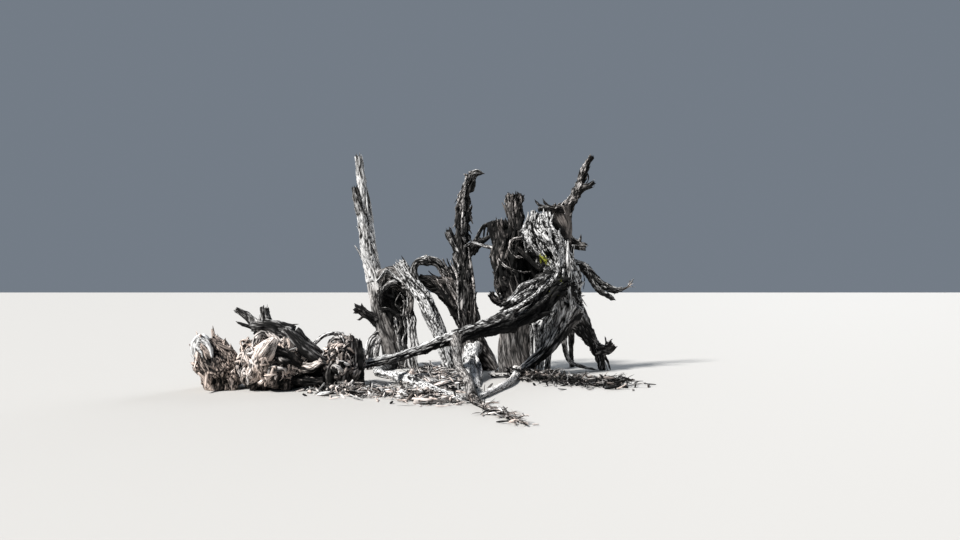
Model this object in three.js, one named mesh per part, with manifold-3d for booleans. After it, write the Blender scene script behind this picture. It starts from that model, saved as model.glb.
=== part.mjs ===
// A dead, weathered tree: several broken upright stems and their bare, twisted
// boughs and surface roots, grown from one root crown, with a fallen log and
// its clumps of broken root wood beside them.
// Millimetres, +Z up. The origin is the middle of the main trunk's flat cut at
// ground level, +X runs to the right of the tree's front, which faces -Y.
import * as THREE from "three";
import { mergeVertices } from "three/addons/utils/BufferGeometryUtils.js";
import Module from "manifold-3d";

const wasm = await Module();
wasm.setup();

// The gap that a limb keeps to whatever it grows from or rests on.
const CLEARANCE = 0.4;
// How strongly a limb's outline swells and pinches, as shares of its radius.
const GNARL = [0.11, 0.08, 0.05];
// How far a limb's middle wanders from its line, as a share of its radius.
const WANDER = 0.16;
// Rings along a limb stand about this many diameters apart.
const RING_STEP = 0.95;
const FEWEST_RINGS = 4;
const MOST_RINGS = 11;
// The soil hides everything under it, so one deep block cuts it all away.
const GROUND_BLOCK = 12000;

const MATERIALS = {
  bleached_wood: { color: 0xb9b4ab, roughness: 0.86, metalness: 0 },
  grey_wood: { color: 0x8b857b, roughness: 0.9, metalness: 0 },
  dark_wood: { color: 0x4b443c, roughness: 0.92, metalness: 0 },
  root_wood: { color: 0x8a7866, roughness: 0.94, metalness: 0 },
  twig_wood: { color: 0x6e655a, roughness: 0.94, metalness: 0 },
};

const TOWARDS_FRONT = [0, -1, 0];
const UPWARDS = [0, 0, 1];

// Each limb runs through a few points, in millimetres, and is as thick at each
// as across says. grows names the limb that it starts in, and how far along.
// flat is its thickness as a share of its width, and face is the way that the
// thin side looks. end says how it stops: cut, point or splinters.
const LIMBS = {
  main_trunk: {
    through: [[15, 0, -60], [0, 20, 760], [20, 50, 1500], [-30, 90, 2250], [-40, 110, 2770], [-35, 130, 3260]],
    across: [610, 550, 700, 580, 350, 290],
    sides: 16,
    end: "splinters",
    splinter: 80,
    wood: "dark_wood",
  },
  crown_slab: {
    through: [[980, -120, 1060], [800, -250, 1800], [490, -340, 2300], [410, -330, 2600], [415, -320, 2870]],
    across: [380, 540, 680, 590, 330],
    flat: 0.5,
    sides: 14,
    end: "splinters",
    splinter: 80,
    wood: "bleached_wood",
  },
  right_column: {
    through: [[1010, 60, 1000], [980, 40, 1830], [885, 10, 2480], [870, 0, 3000]],
    across: [370, 270, 220, 180],
    sides: 10,
    wood: "grey_wood",
  },
  middle_snag: {
    through: [[-610, 350, -60], [-900, 320, 740], [-965, 300, 1690], [-1010, 300, 2450], [-990, 300, 3110], [-920, 290, 3460], [-850, 280, 3670]],
    across: [560, 380, 330, 200, 200, 140, 140],
    sides: 12,
    wood: "dark_wood",
  },
  left_snag: {
    through: [[-2270, 800, -60], [-2500, 740, 700], [-2700, 700, 1480], [-2830, 700, 2280], [-2940, 700, 3160], [-3060, 700, 4060]],
    across: [480, 410, 320, 260, 200, 160],
    sides: 12,
    end: "splinters",
    splinter: 130,
    wood: "grey_wood",
  },
  trunk_shoulder: {
    grows: ["main_trunk", 0.36],
    through: [[-290, -40, 2020], [-322, -20, 2430], [-378, 0, 2740]],
    across: [380, 290, 260, 150],
    sides: 10,
    end: "splinters",
    splinter: 90,
    wood: "dark_wood",
  },
  top_branch: {
    grows: ["right_column", 0.93],
    through: [[1120, 0, 3360], [1250, 20, 3720], [1385, 40, 3980]],
    across: [190, 165, 145, 70],
    sides: 9,
    end: "splinters",
    splinter: 60,
    wood: "dark_wood",
  },
  top_fork: {
    grows: ["top_branch", 0.3],
    through: [[1280, -60, 3400], [1410, -90, 3490]],
    across: [110, 105, 50],
    sides: 7,
    end: "splinters",
    splinter: 40,
    wood: "grey_wood",
  },
  slab_web: {
    through: [[905, -60, 2300], [830, -90, 2720], [770, -110, 3000]],
    across: [90, 330, 430],
    flat: 0.16,
    sides: 10,
    end: "splinters",
    splinter: 50,
    wood: "root_wood",
  },
  right_stub: {
    grows: ["right_column", 0.62],
    through: [[1120, 20, 2340], [1260, 10, 2300]],
    across: [210, 170, 110],
    sides: 8,
    end: "splinters",
    splinter: 50,
    wood: "grey_wood",
  },
  right_limb: {
    grows: ["right_column", 0.4],
    through: [[1260, 120, 1930], [1530, 200, 1650], [1810, 260, 1500], [2000, 290, 1510]],
    across: [250, 170, 150, 110, 70],
    sides: 8,
    wood: "grey_wood",
  },
  right_limb_fork: {
    grows: ["right_limb", 0.24],
    through: [[1490, 80, 1530], [1680, 80, 1400], [1840, 80, 1310]],
    across: [120, 95, 90, 50],
    sides: 7,
    end: "point",
    wood: "grey_wood",
  },
  long_limb_root: {
    grows: ["crown_slab", 0.2],
    through: [[560, -550, 1510], [210, -760, 1170], [-240, -980, 960]],
    across: [430, 450, 410, 310],
    flat: 0.8,
    sides: 12,
    wood: "grey_wood",
  },
  long_limb_reach: {
    grows: ["long_limb_root", 0.94],
    through: [[-770, -1220, 800], [-1500, -1500, 590], [-2120, -1680, 400], [-2560, -1790, 310]],
    across: [310, 240, 175, 140, 120],
    sides: 10,
    end: "splinters",
    splinter: 60,
    wood: "grey_wood",
  },
  over_limb: {
    grows: ["crown_slab", 0.25],
    through: [[160, -640, 1500], [-260, -850, 1210]],
    across: [280, 220, 160],
    sides: 9,
    end: "splinters",
    splinter: 60,
    wood: "bleached_wood",
  },
  trunk_stub: {
    grows: ["main_trunk", 0.32],
    through: [[-360, -180, 1290], [-490, -260, 1420]],
    across: [190, 150, 100],
    sides: 8,
    end: "splinters",
    splinter: 60,
    wood: "dark_wood",
  },
  right_leg: {
    grows: ["right_column", 0.03],
    through: [[1270, 100, 740], [1490, 200, 410], [1650, 280, -60]],
    across: [350, 280, 170, 90],
    sides: 10,
    wood: "dark_wood",
  },
  front_leg: {
    grows: ["crown_slab", 0.04],
    through: [[740, -300, 680], [420, -450, 350], [-130, -570, -50]],
    across: [380, 350, 260, 160],
    sides: 10,
    wood: "dark_wood",
  },
  back_leg: {
    grows: ["right_column", 0.02],
    through: [[1040, 400, 520], [1080, 640, 170], [1110, 760, -40]],
    across: [220, 120, 95, 110],
    sides: 8,
    wood: "grey_wood",
  },
  leg_knob: {
    grows: ["right_leg", 0.68],
    through: [[1690, 200, 400], [1800, 190, 480]],
    across: [150, 170, 170],
    sides: 8,
    end: "splinters",
    splinter: 60,
    wood: "dark_wood",
  },
  side_root: {
    grows: ["front_leg", 0.26],
    through: [[930, -60, 250], [1220, 50, 80], [1500, 110, 15]],
    across: [170, 130, 90, 60],
    sides: 7,
    end: "point",
    wood: "dark_wood",
  },
  curtain_rib_1: {
    grows: ["long_limb_root", 0.12],
    through: [[430, -330, 630], [280, -400, -40]],
    across: [160, 130, 150],
    sides: 7,
    wood: "bleached_wood",
  },
  curtain_rib_2: {
    grows: ["crown_slab", 0.1],
    through: [[620, -160, 640], [520, -130, -40]],
    across: [180, 150, 150],
    sides: 7,
    wood: "bleached_wood",
  },
  snag_hook: {
    grows: ["middle_snag", 0.985],
    through: [[-740, 250, 3710], [-600, 220, 3700]],
    across: [130, 110, 65],
    sides: 7,
    end: "point",
    wood: "grey_wood",
  },
  snag_prong: {
    grows: ["middle_snag", 0.4],
    through: [[-1175, 220, 2350], [-1275, 200, 2620]],
    across: [200, 160, 110],
    sides: 8,
    end: "splinters",
    splinter: 70,
    wood: "dark_wood",
  },
  bridge_limb: {
    grows: ["trunk_shoulder", 0.92],
    through: [[-510, 100, 2680], [-660, 190, 2520], [-860, 290, 2200]],
    across: [200, 260, 220, 170],
    flat: 0.5,
    sides: 9,
    wood: "dark_wood",
  },
  bridge_twig: {
    grows: ["trunk_shoulder", 0.5],
    through: [[-610, 100, 2330], [-840, 130, 2380], [-990, 170, 2300]],
    across: [80, 65, 65, 45],
    sides: 6,
    end: "point",
    wood: "grey_wood",
  },
  arch_fall: {
    grows: ["middle_snag", 0.33],
    through: [[-1330, 250, 1850], [-1510, 200, 2010], [-1680, 170, 2060]],
    across: [200, 170, 165, 150],
    sides: 8,
    wood: "grey_wood",
  },
  dark_bough: {
    grows: ["middle_snag", 0.21],
    through: [[-1290, 300, 1430], [-1560, 260, 1610], [-1840, 200, 1710]],
    across: [330, 430, 330, 150],
    flat: 0.55,
    sides: 10,
    wood: "dark_wood",
  },
  arch_rise: {
    grows: ["arch_fall", 0.97],
    through: [[-1850, 150, 2020], [-1910, 130, 1880], [-1850, 170, 1670]],
    across: [150, 130, 125, 130],
    sides: 7,
    wood: "grey_wood",
  },
  bleached_bough: {
    through: [[-2200, 300, 1990], [-1830, 150, 1470], [-1640, 60, 1160], [-1460, -60, 780], [-1190, -280, -40]],
    across: [230, 260, 280, 280, 250],
    sides: 12,
    start: "splinters",
    splinter: 110,
    wood: "bleached_wood",
  },
  pale_foot: {
    grows: ["middle_snag", 0.1],
    through: [[-880, -700, 275], [-800, -1400, 115], [-720, -2060, -20]],
    across: [230, 240, 190, 110],
    sides: 9,
    wood: "bleached_wood",
  },
  hood_back: {
    grows: ["left_snag", 0.02],
    through: [[-2350, 640, 1000], [-2350, 600, 1500], [-2330, 540, 1760]],
    across: [360, 500, 540, 320],
    flat: 0.36,
    sides: 10,
    end: "splinters",
    splinter: 60,
    wood: "dark_wood",
  },
  hood_roof: {
    grows: ["left_snag", 0.42],
    through: [[-2480, 560, 1770], [-2260, 480, 1680], [-2070, 400, 1530]],
    across: [200, 280, 300, 230],
    flat: 0.4,
    sides: 10,
    wood: "root_wood",
  },
  hood_rim_left: {
    grows: ["left_snag", 0.23],
    through: [[-2560, 430, 1320], [-2430, 360, 1580], [-2240, 320, 1650]],
    across: [130, 130, 120, 110],
    sides: 7,
    wood: "grey_wood",
  },
  hood_rim_right: {
    grows: ["hood_roof", 0.98],
    through: [[-2020, 330, 1520], [-2000, 340, 1280], [-2030, 380, 1000]],
    across: [200, 140, 120, 110],
    sides: 7,
    wood: "grey_wood",
  },
  knobby_stub: {
    grows: ["left_snag", 0.235],
    through: [[-2850, 560, 1010], [-2980, 520, 1100], [-3060, 500, 1150]],
    across: [180, 150, 180, 130],
    sides: 8,
    end: "splinters",
    splinter: 50,
    wood: "dark_wood",
  },
  snag_twin: {
    grows: ["left_snag", 0.45],
    through: [[-2950, 620, 2700], [-3060, 610, 3150], [-3125, 610, 3470]],
    across: [190, 175, 150, 110],
    sides: 8,
    end: "splinters",
    splinter: 60,
    wood: "grey_wood",
  },
  snag_flare: {
    grows: ["left_snag", 0.19],
    through: [[-2760, 560, 540], [-2850, 300, -40]],
    across: [140, 130, 140],
    sides: 7,
    wood: "bleached_wood",
  },
  hood_strand_1: {
    grows: ["hood_back", 0.36],
    through: [[-2240, 420, 640], [-2190, 440, -40]],
    across: [170, 130, 160],
    sides: 7,
    wood: "bleached_wood",
  },
  hood_strand_2: {
    grows: ["hood_rim_right", 0.95],
    through: [[-1960, 370, 640], [-1930, 360, -40]],
    across: [150, 150, 180],
    sides: 8,
    wood: "bleached_wood",
  },
  front_root: {
    grows: ["long_limb_reach", 0.36],
    through: [[-1030, -2000, 390], [-870, -2750, 210], [-780, -3560, 50]],
    across: [170, 120, 130, 190],
    sides: 9,
    face: UPWARDS,
    wood: "grey_wood",
  },
  pale_root: {
    grows: ["left_snag", 0.03],
    through: [[-2500, -500, 60], [-2050, -1250, 55], [-1530, -2300, 50], [-1180, -3000, 35], [-890, -3480, 30]],
    across: [160, 150, 170, 150, 110, 80],
    sides: 8,
    face: UPWARDS,
    wood: "bleached_wood",
  },
  right_root: {
    grows: ["main_trunk", 0.025],
    through: [[-80, -1100, 50], [-260, -2000, 45], [-540, -2850, 40], [-760, -3430, 30]],
    across: [180, 120, 110, 95, 80],
    sides: 8,
    face: UPWARDS,
    wood: "bleached_wood",
  },
  fallen_log: {
    through: [[-4170, -2000, 900], [-3900, -2050, 890], [-3620, -2050, 780]],
    across: [200, 290, 280],
    sides: 10,
    start: "splinters",
    splinter: 60,
    wood: "dark_wood",
  },
  fallen_log_tail: {
    grows: ["fallen_log", 0.96],
    through: [[-3400, -2000, 570], [-3190, -1950, 420], [-2960, -1900, 320]],
    across: [275, 240, 210, 150],
    sides: 10,
    wood: "dark_wood",
  },
  log_stub: {
    grows: ["fallen_log", 0.24],
    through: [[-4050, -2000, 1060], [-4050, -2000, 1210]],
    across: [180, 150, 125],
    sides: 8,
    end: "splinters",
    splinter: 60,
    wood: "grey_wood",
  },
  log_branch: {
    grows: ["fallen_log", 0.14],
    through: [[-4290, -2000, 1070], [-4480, -2000, 1190]],
    across: [150, 115, 75],
    sides: 7,
    end: "splinters",
    splinter: 40,
    wood: "grey_wood",
  },
  log_twig: {
    grows: ["fallen_log", 0.04],
    through: [[-4310, -2090, 955], [-4460, -2100, 1015]],
    across: [70, 50, 30],
    sides: 6,
    end: "point",
    wood: "grey_wood",
  },
  fallen_stump: {
    through: [[-4590, -2120, -40], [-4700, -2120, 230], [-4790, -2150, 470], [-4900, -2180, 720]],
    across: [620, 710, 600, 320],
    sides: 14,
    end: "splinters",
    splinter: 50,
    wood: "root_wood",
  },
};

// Clumps of broken root wood: the middle, the size along each axis, and how
// many swells go round them.
const LUMPS = {
  wad_body: { middle: [-3850, -2080, 330], size: [1030, 1150, 900], swells: 5, wood: "root_wood" },
  right_wad: { middle: [-2820, -1950, 340], size: [600, 900, 780], swells: 4, wood: "root_wood" },
};

// Rows of thin splinters left standing where a side of the wood tore away.
const COMBS = {
  crown_splinters: {
    from: [380, -230, 2960], to: [860, -90, 3030],
    bar: 75, count: 6, height: [230, 70], thick: 40, lean: [-0.3, -0.1, 0.95],
    wood: "dark_wood",
  },
  arch_comb: {
    from: [-1500, 230, 2020], to: [-1150, 270, 1830],
    bar: 75, count: 6, height: [170, 290], thick: 46, lean: [-0.42, -0.08, 0.9],
    wood: "dark_wood",
  },
};

// Bare twigs: each spray has one stem that side twigs leave by turns.
const SPRAYS = {
  right_limb_twigs: {
    stem: [[2003, 290, 1510], [2110, 300, 1560], [2200, 300, 1660]],
    across: [62, 40, 14], twigs: 6, reach: 210, spread: 0.9, seed: 3, low: 1200, high: 1760,
  },
  root_fan: {
    stem: [[-779, -3575, 60], [-560, -4250, 32], [-340, -4750, 24], [-150, -5150, 16]],
    across: [130, 70, 44, 16], twigs: 12, reach: 520, spread: 0.6, seed: 8, low: 8, high: 150,
  },
  brush_pile: {
    stem: [[-40, -640, 55], [420, -1250, 50], [950, -1700, 40], [1480, -2000, 30]],
    across: [110, 80, 60, 24], twigs: 18, reach: 600, spread: 1.1, seed: 12, low: 8, high: 210,
  },
  root_mat_back: {
    stem: [[-1050, 180, 50], [-1500, -400, 40], [-1520, -1300, 32], [-1120, -2350, 20]],
    across: [90, 80, 60, 20], twigs: 24, reach: 600, spread: 1.5, seed: 5, low: 8, high: 190,
  },
  root_mat_front: {
    stem: [[-2960, -2200, 60], [-2700, -2560, 36], [-1850, -2930, 30], [-1150, -3560, 18]],
    across: [100, 80, 60, 20], twigs: 28, reach: 560, spread: 1.4, seed: 17, low: 8, high: 130,
  },
};

// The pale dead shoot that arches over the gap between the log and its clump.
const SHOOT = {
  through: [[-3350, -1740, 620], [-3160, -1710, 775], [-2920, -1710, 795], [-2790, -1780, 690]],
  across: [62, 58, 54, 60],
  sides: 6,
  wood: "bleached_wood",
};

function vector(p) {
  return new THREE.Vector3(p[0], p[1], p[2]);
}

// A number from 0 to 996 that is always the same for a name.
function seedOf(name) {
  let seed = 0;
  for (const letter of name) seed = (seed * 31 + letter.charCodeAt(0)) % 997;
  return seed;
}

// A repeatable stream of numbers from 0 to 1.
function stream(seed) {
  let state = (seed * 7919 + 17) % 233280;
  return () => {
    state = (state * 9301 + 49297) % 233280;
    return state / 233280;
  };
}

// The limb's line, with its thickness found by the same steps along it.
function lineOf(limb) {
  const points = limb.through.map(vector);
  if (limb.grows) points.unshift(pointOn(limb.grows));
  const curve = new THREE.CatmullRomCurve3(points, false, "catmullrom", 0.5);
  const last = limb.across.length - 1;
  const acrossAt = (t) => {
    const k = Math.min(Math.floor(t * last), last - 1);
    return THREE.MathUtils.lerp(limb.across[k], limb.across[k + 1], t * last - k);
  };
  return { curve, acrossAt, length: curve.getLength() };
}

function pointOn([name, share]) {
  return lineOf(LIMBS[name]).curve.getPoint(share);
}

// The unit axes of a limb's section: across it and through its thin side.
function axesAt(curve, t, face) {
  const along = curve.getTangent(t).normalize();
  const through = vector(face);
  through.addScaledVector(along, -through.dot(along)).normalize();
  return { along, through, across: new THREE.Vector3().crossVectors(through, along) };
}

// How much the outline swells at an angle, s metres along the limb.
function gnarl(angle, s, seed) {
  return (
    GNARL[0] * Math.sin(2 * angle + 1.9 * s + seed) +
    GNARL[1] * Math.sin(3 * angle - 2.6 * s + 1.7 * seed) +
    GNARL[2] * Math.sin(5 * angle + 3.3 * s + 2.3 * seed)
  );
}

// The closed surface of rings of points, each ring joined to the next.
function skin(rings, startTip, endTip) {
  const sides = rings[0].length;
  const points = [...rings.flat(), startTip, endTip];
  const first = rings.length * sides;
  const faces = [];
  for (let k = 0; k + 1 < rings.length; k++)
    for (let i = 0; i < sides; i++) {
      const [a, b] = [k * sides + i, k * sides + ((i + 1) % sides)];
      faces.push(a, b, b + sides, a, b + sides, a + sides);
    }
  for (let i = 0; i < sides; i++) {
    const next = (i + 1) % sides;
    const top = (rings.length - 1) * sides;
    faces.push(first, next, i, first + 1, top + i, top + next);
  }
  return new THREE.BufferGeometry()
    .setAttribute("position", new THREE.Float32BufferAttribute(points.flatMap((p) => p.toArray()), 3))
    .setIndex(faces);
}

// A limb's surface, grown all over by the given number of millimetres.
function limbGeometry(name, limb, grown = 0) {
  const { curve, acrossAt, length } = lineOf(limb);
  const widest = Math.max(...limb.across);
  const steps = THREE.MathUtils.clamp(Math.round(length / (RING_STEP * widest)), FEWEST_RINGS, MOST_RINGS);
  const seed = seedOf(name);
  const next = stream(seed);
  const jags = Array.from({ length: limb.sides }, (_, i) => (i % 2 ? 0.15 : 0.55) + 0.45 * next());
  const rings = [];
  const middles = [];
  for (let k = 0; k <= steps; k++) {
    const t = k / steps;
    const { along, through, across } = axesAt(curve, t, limb.face ?? TOWARDS_FRONT);
    const s = (t * length) / 1000;
    const radius = acrossAt(t) / 2;
    const loose = WANDER * radius * Math.sin(Math.PI * t);
    const middle = curve
      .getPoint(t)
      .addScaledVector(across, loose * Math.sin(4.1 * s + seed))
      .addScaledVector(through, loose * Math.sin(3.3 * s + 2 * seed));
    const torn = (k === 0 && limb.start === "splinters") || (k === steps && limb.end === "splinters");
    const way = k === 0 ? -1 : 1;
    // A torn end is steep inside, so it must grow further to keep clear.
    const steep = torn ? 1 + (2 * limb.splinter) / (radius * (limb.flat ?? 1)) : 1;
    if (k === 0 || k === steps) middle.addScaledVector(along, way * grown * steep);
    const ring = [];
    for (let i = 0; i < limb.sides; i++) {
      const angle = (2 * Math.PI * i) / limb.sides;
      const reach = radius * (1 + gnarl(angle, s, seed));
      ring.push(
        middle
          .clone()
          .addScaledVector(across, (reach + grown) * Math.cos(angle))
          .addScaledVector(through, (reach * (limb.flat ?? 1) + grown) * Math.sin(angle))
          .addScaledVector(along, torn ? way * limb.splinter * jags[i] : 0),
      );
    }
    rings.push(ring);
    middles.push(middle);
  }
  return skin(rings, middles[0], middles[steps]);
}

// A clump: a ball with swells on it, cut level by the ground later.
function lumpGeometry(name, lump, grown = 0) {
  const geometry = new THREE.IcosahedronGeometry(1, 4);
  const seed = seedOf(name);
  const at = geometry.getAttribute("position");
  const p = new THREE.Vector3();
  for (let i = 0; i < at.count; i++) {
    p.fromBufferAttribute(at, i);
    const round = Math.atan2(p.y, p.x);
    const swell =
      1 +
      0.1 * Math.sin(lump.swells * round + 3 * p.z + seed) +
      0.08 * Math.sin((lump.swells + 3) * round - 5 * p.z + 2 * seed) +
      0.06 * Math.sin(9 * p.z + 2 * round + seed);
    p.multiplyScalar(swell);
    at.setXYZ(
      i,
      lump.middle[0] + p.x * (lump.size[0] / 2 + grown),
      lump.middle[1] + p.y * (lump.size[1] / 2 + grown),
      lump.middle[2] + p.z * (lump.size[2] / 2 + grown),
    );
  }
  return geometry;
}

function solidOf(geometry) {
  const bare = new THREE.BufferGeometry().setAttribute("position", geometry.getAttribute("position").clone());
  if (geometry.index) bare.setIndex(geometry.index.clone());
  const merged = mergeVertices(bare, 1e-3);
  return new wasm.Manifold(
    new wasm.Mesh({
      numProp: 3,
      vertProperties: merged.attributes.position.array,
      triVerts: new Uint32Array(merged.index.array),
    }),
  );
}

function meshOf(name, solid, wood) {
  const made = solid.getMesh();
  const geometry = new THREE.BufferGeometry();
  geometry.setAttribute("position", new THREE.Float32BufferAttribute(made.vertProperties, 3));
  geometry.setIndex(Array.from(made.triVerts));
  geometry.computeVertexNormals();
  const mesh = new THREE.Mesh(geometry, new THREE.MeshStandardMaterial(MATERIALS[wood]));
  mesh.name = name;
  return mesh;
}

// The largest whole piece: cutting a limb at its neighbour can leave scraps.
function largest(solid) {
  const pieces = solid.decompose();
  return pieces.reduce((best, piece) => (piece.volume() > best.volume() ? piece : best), pieces[0]);
}

// A straight round stick that tapers, with flat ends or a point.
function stick(from, to, thick, thin, sides = 3) {
  const line = new THREE.LineCurve3(from, to);
  const face = Math.abs(line.getTangent(0).y) > 0.8 ? UPWARDS : TOWARDS_FRONT;
  const ends = [thick, thin].map((d, k) => {
    const { through, across } = axesAt(line, k, face);
    return Array.from({ length: sides }, (_, i) => {
      const angle = (2 * Math.PI * i) / sides;
      return line
        .getPoint(k)
        .addScaledVector(across, (d / 2) * Math.cos(angle))
        .addScaledVector(through, (d / 2) * Math.sin(angle));
    });
  });
  return solidOf(skin(ends, from, to));
}

function combSolid(name, comb) {
  const next = stream(seedOf(name));
  const [from, to] = [vector(comb.from), vector(comb.to)];
  let solid = stick(from, to, comb.bar, comb.bar * 0.8, 6);
  for (let i = 0; i < comb.count; i++) {
    const share = (i + 0.5) / comb.count;
    const height = THREE.MathUtils.lerp(comb.height[0], comb.height[1], share) * (0.75 + 0.5 * next());
    const root = from.clone().lerp(to, share);
    const lean = vector(comb.lean).add(new THREE.Vector3((next() - 0.5) * 0.3, (next() - 0.5) * 0.3, 0));
    const tip = root.clone().addScaledVector(lean.normalize(), height);
    solid = solid.add(stick(root, tip, comb.thick, comb.thick * 0.25, 4));
  }
  return solid;
}

function spraySolid(spray) {
  const next = stream(spray.seed);
  const stem = { through: spray.stem, across: spray.across, sides: 6, face: UPWARDS };
  const { curve, acrossAt } = lineOf(stem);
  let solid = solidOf(limbGeometry("spray_stem", stem));
  let turn = next() * 2 * Math.PI;
  for (let i = 0; i < spray.twigs; i++) {
    const t = 0.18 + (0.78 * (i + next() * 0.5)) / spray.twigs;
    const { along, through, across } = axesAt(curve, t, UPWARDS);
    turn += 2.4;
    const side = across.multiplyScalar(Math.cos(turn)).addScaledVector(through, 0.5 * Math.sin(turn));
    const way = along.addScaledVector(side, spray.spread).normalize();
    const root = curve.getPoint(t);
    const reach = spray.reach * (0.45 + 0.55 * next()) * (1.1 - 0.5 * t);
    const tip = root.clone().addScaledVector(way, reach);
    tip.z = THREE.MathUtils.clamp(tip.z, spray.low + 6, spray.high);
    const thick = Math.max(acrossAt(t) * 0.45, 13);
    solid = solid.add(stick(root, tip, thick, thick * 0.4));
  }
  return largest(solid);
}

const ground = solidOf(
  new THREE.BoxGeometry(GROUND_BLOCK, GROUND_BLOCK, GROUND_BLOCK).translate(0, 0, -GROUND_BLOCK / 2),
);

// Solids in the order in which they are made: each is cut clear of those
// before it, which are kept here grown by the clearance.
const standing = [];
const tree = new THREE.Group();

function place(name, solid, grown, wood) {
  let cut = solid.subtract(ground);
  for (const other of standing) cut = cut.subtract(other);
  standing.push(grown);
  tree.add(meshOf(name, largest(cut), wood));
}

function placeLimb(name, limb) {
  place(name, solidOf(limbGeometry(name, limb)), solidOf(limbGeometry(name, limb, CLEARANCE)), limb.wood);
}

for (const [name, lump] of Object.entries(LUMPS))
  place(name, solidOf(lumpGeometry(name, lump)), solidOf(lumpGeometry(name, lump, CLEARANCE)), lump.wood);
for (const [name, limb] of Object.entries(LIMBS)) placeLimb(name, limb);
placeLimb("arched_shoot", SHOOT);
for (const [name, comb] of Object.entries(COMBS)) {
  const solid = combSolid(name, comb);
  place(name, solid, solid, comb.wood);
}
for (const [name, spray] of Object.entries(SPRAYS)) {
  const solid = spraySolid(spray);
  place(name, solid, solid, "twig_wood");
}

export default tree;
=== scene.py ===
"""A weathered dead tree: cracked, splintered stems, boughs, roots and a fallen log.

Every limb follows the line of its solid in the frame and, but for what slim
changes, its thickness. The wood's relief is part of the meshes.
"""
import copy
import math

import bpy
import numpy as np
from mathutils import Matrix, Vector


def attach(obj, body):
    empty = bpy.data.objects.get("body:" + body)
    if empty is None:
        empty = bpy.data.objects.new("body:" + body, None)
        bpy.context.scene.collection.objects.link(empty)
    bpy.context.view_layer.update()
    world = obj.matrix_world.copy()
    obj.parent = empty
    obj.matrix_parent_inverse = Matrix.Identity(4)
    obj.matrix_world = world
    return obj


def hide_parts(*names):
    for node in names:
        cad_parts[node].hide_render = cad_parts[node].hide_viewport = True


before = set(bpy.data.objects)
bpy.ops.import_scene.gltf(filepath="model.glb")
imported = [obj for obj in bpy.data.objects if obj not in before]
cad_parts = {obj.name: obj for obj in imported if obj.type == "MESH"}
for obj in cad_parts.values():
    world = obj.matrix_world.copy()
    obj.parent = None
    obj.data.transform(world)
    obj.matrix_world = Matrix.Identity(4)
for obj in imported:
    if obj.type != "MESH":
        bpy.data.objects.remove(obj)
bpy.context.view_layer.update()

# Where the photograph was taken from, in metres, and how many degrees up it looks.
EYE = (-0.685, -12.83, 1.5)
LOOKS_UP = 1.653

camera_data = bpy.data.cameras.new("camera")
camera_data.lens = 26
camera_data.sensor_width = 36
camera_data.clip_end = 1000
camera = bpy.data.objects.new("camera", camera_data)
camera.location = EYE
camera.rotation_euler = (math.radians(90 + LOOKS_UP), 0, 0)
bpy.context.scene.collection.objects.link(camera)
bpy.context.scene.camera = camera

MM = 0.001
# Size of one face of the relief, around and along a limb, in metres.
AROUND = 0.013
ALONG = 0.02
FEWER = 1
# The source's own rules for how a limb swells, pinches and wanders.
GNARL = (0.11, 0.08, 0.05)
WANDER = 0.16

TOWARDS_FRONT = (0, -1, 0)
UPWARDS = (0, 0, 1)

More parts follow.
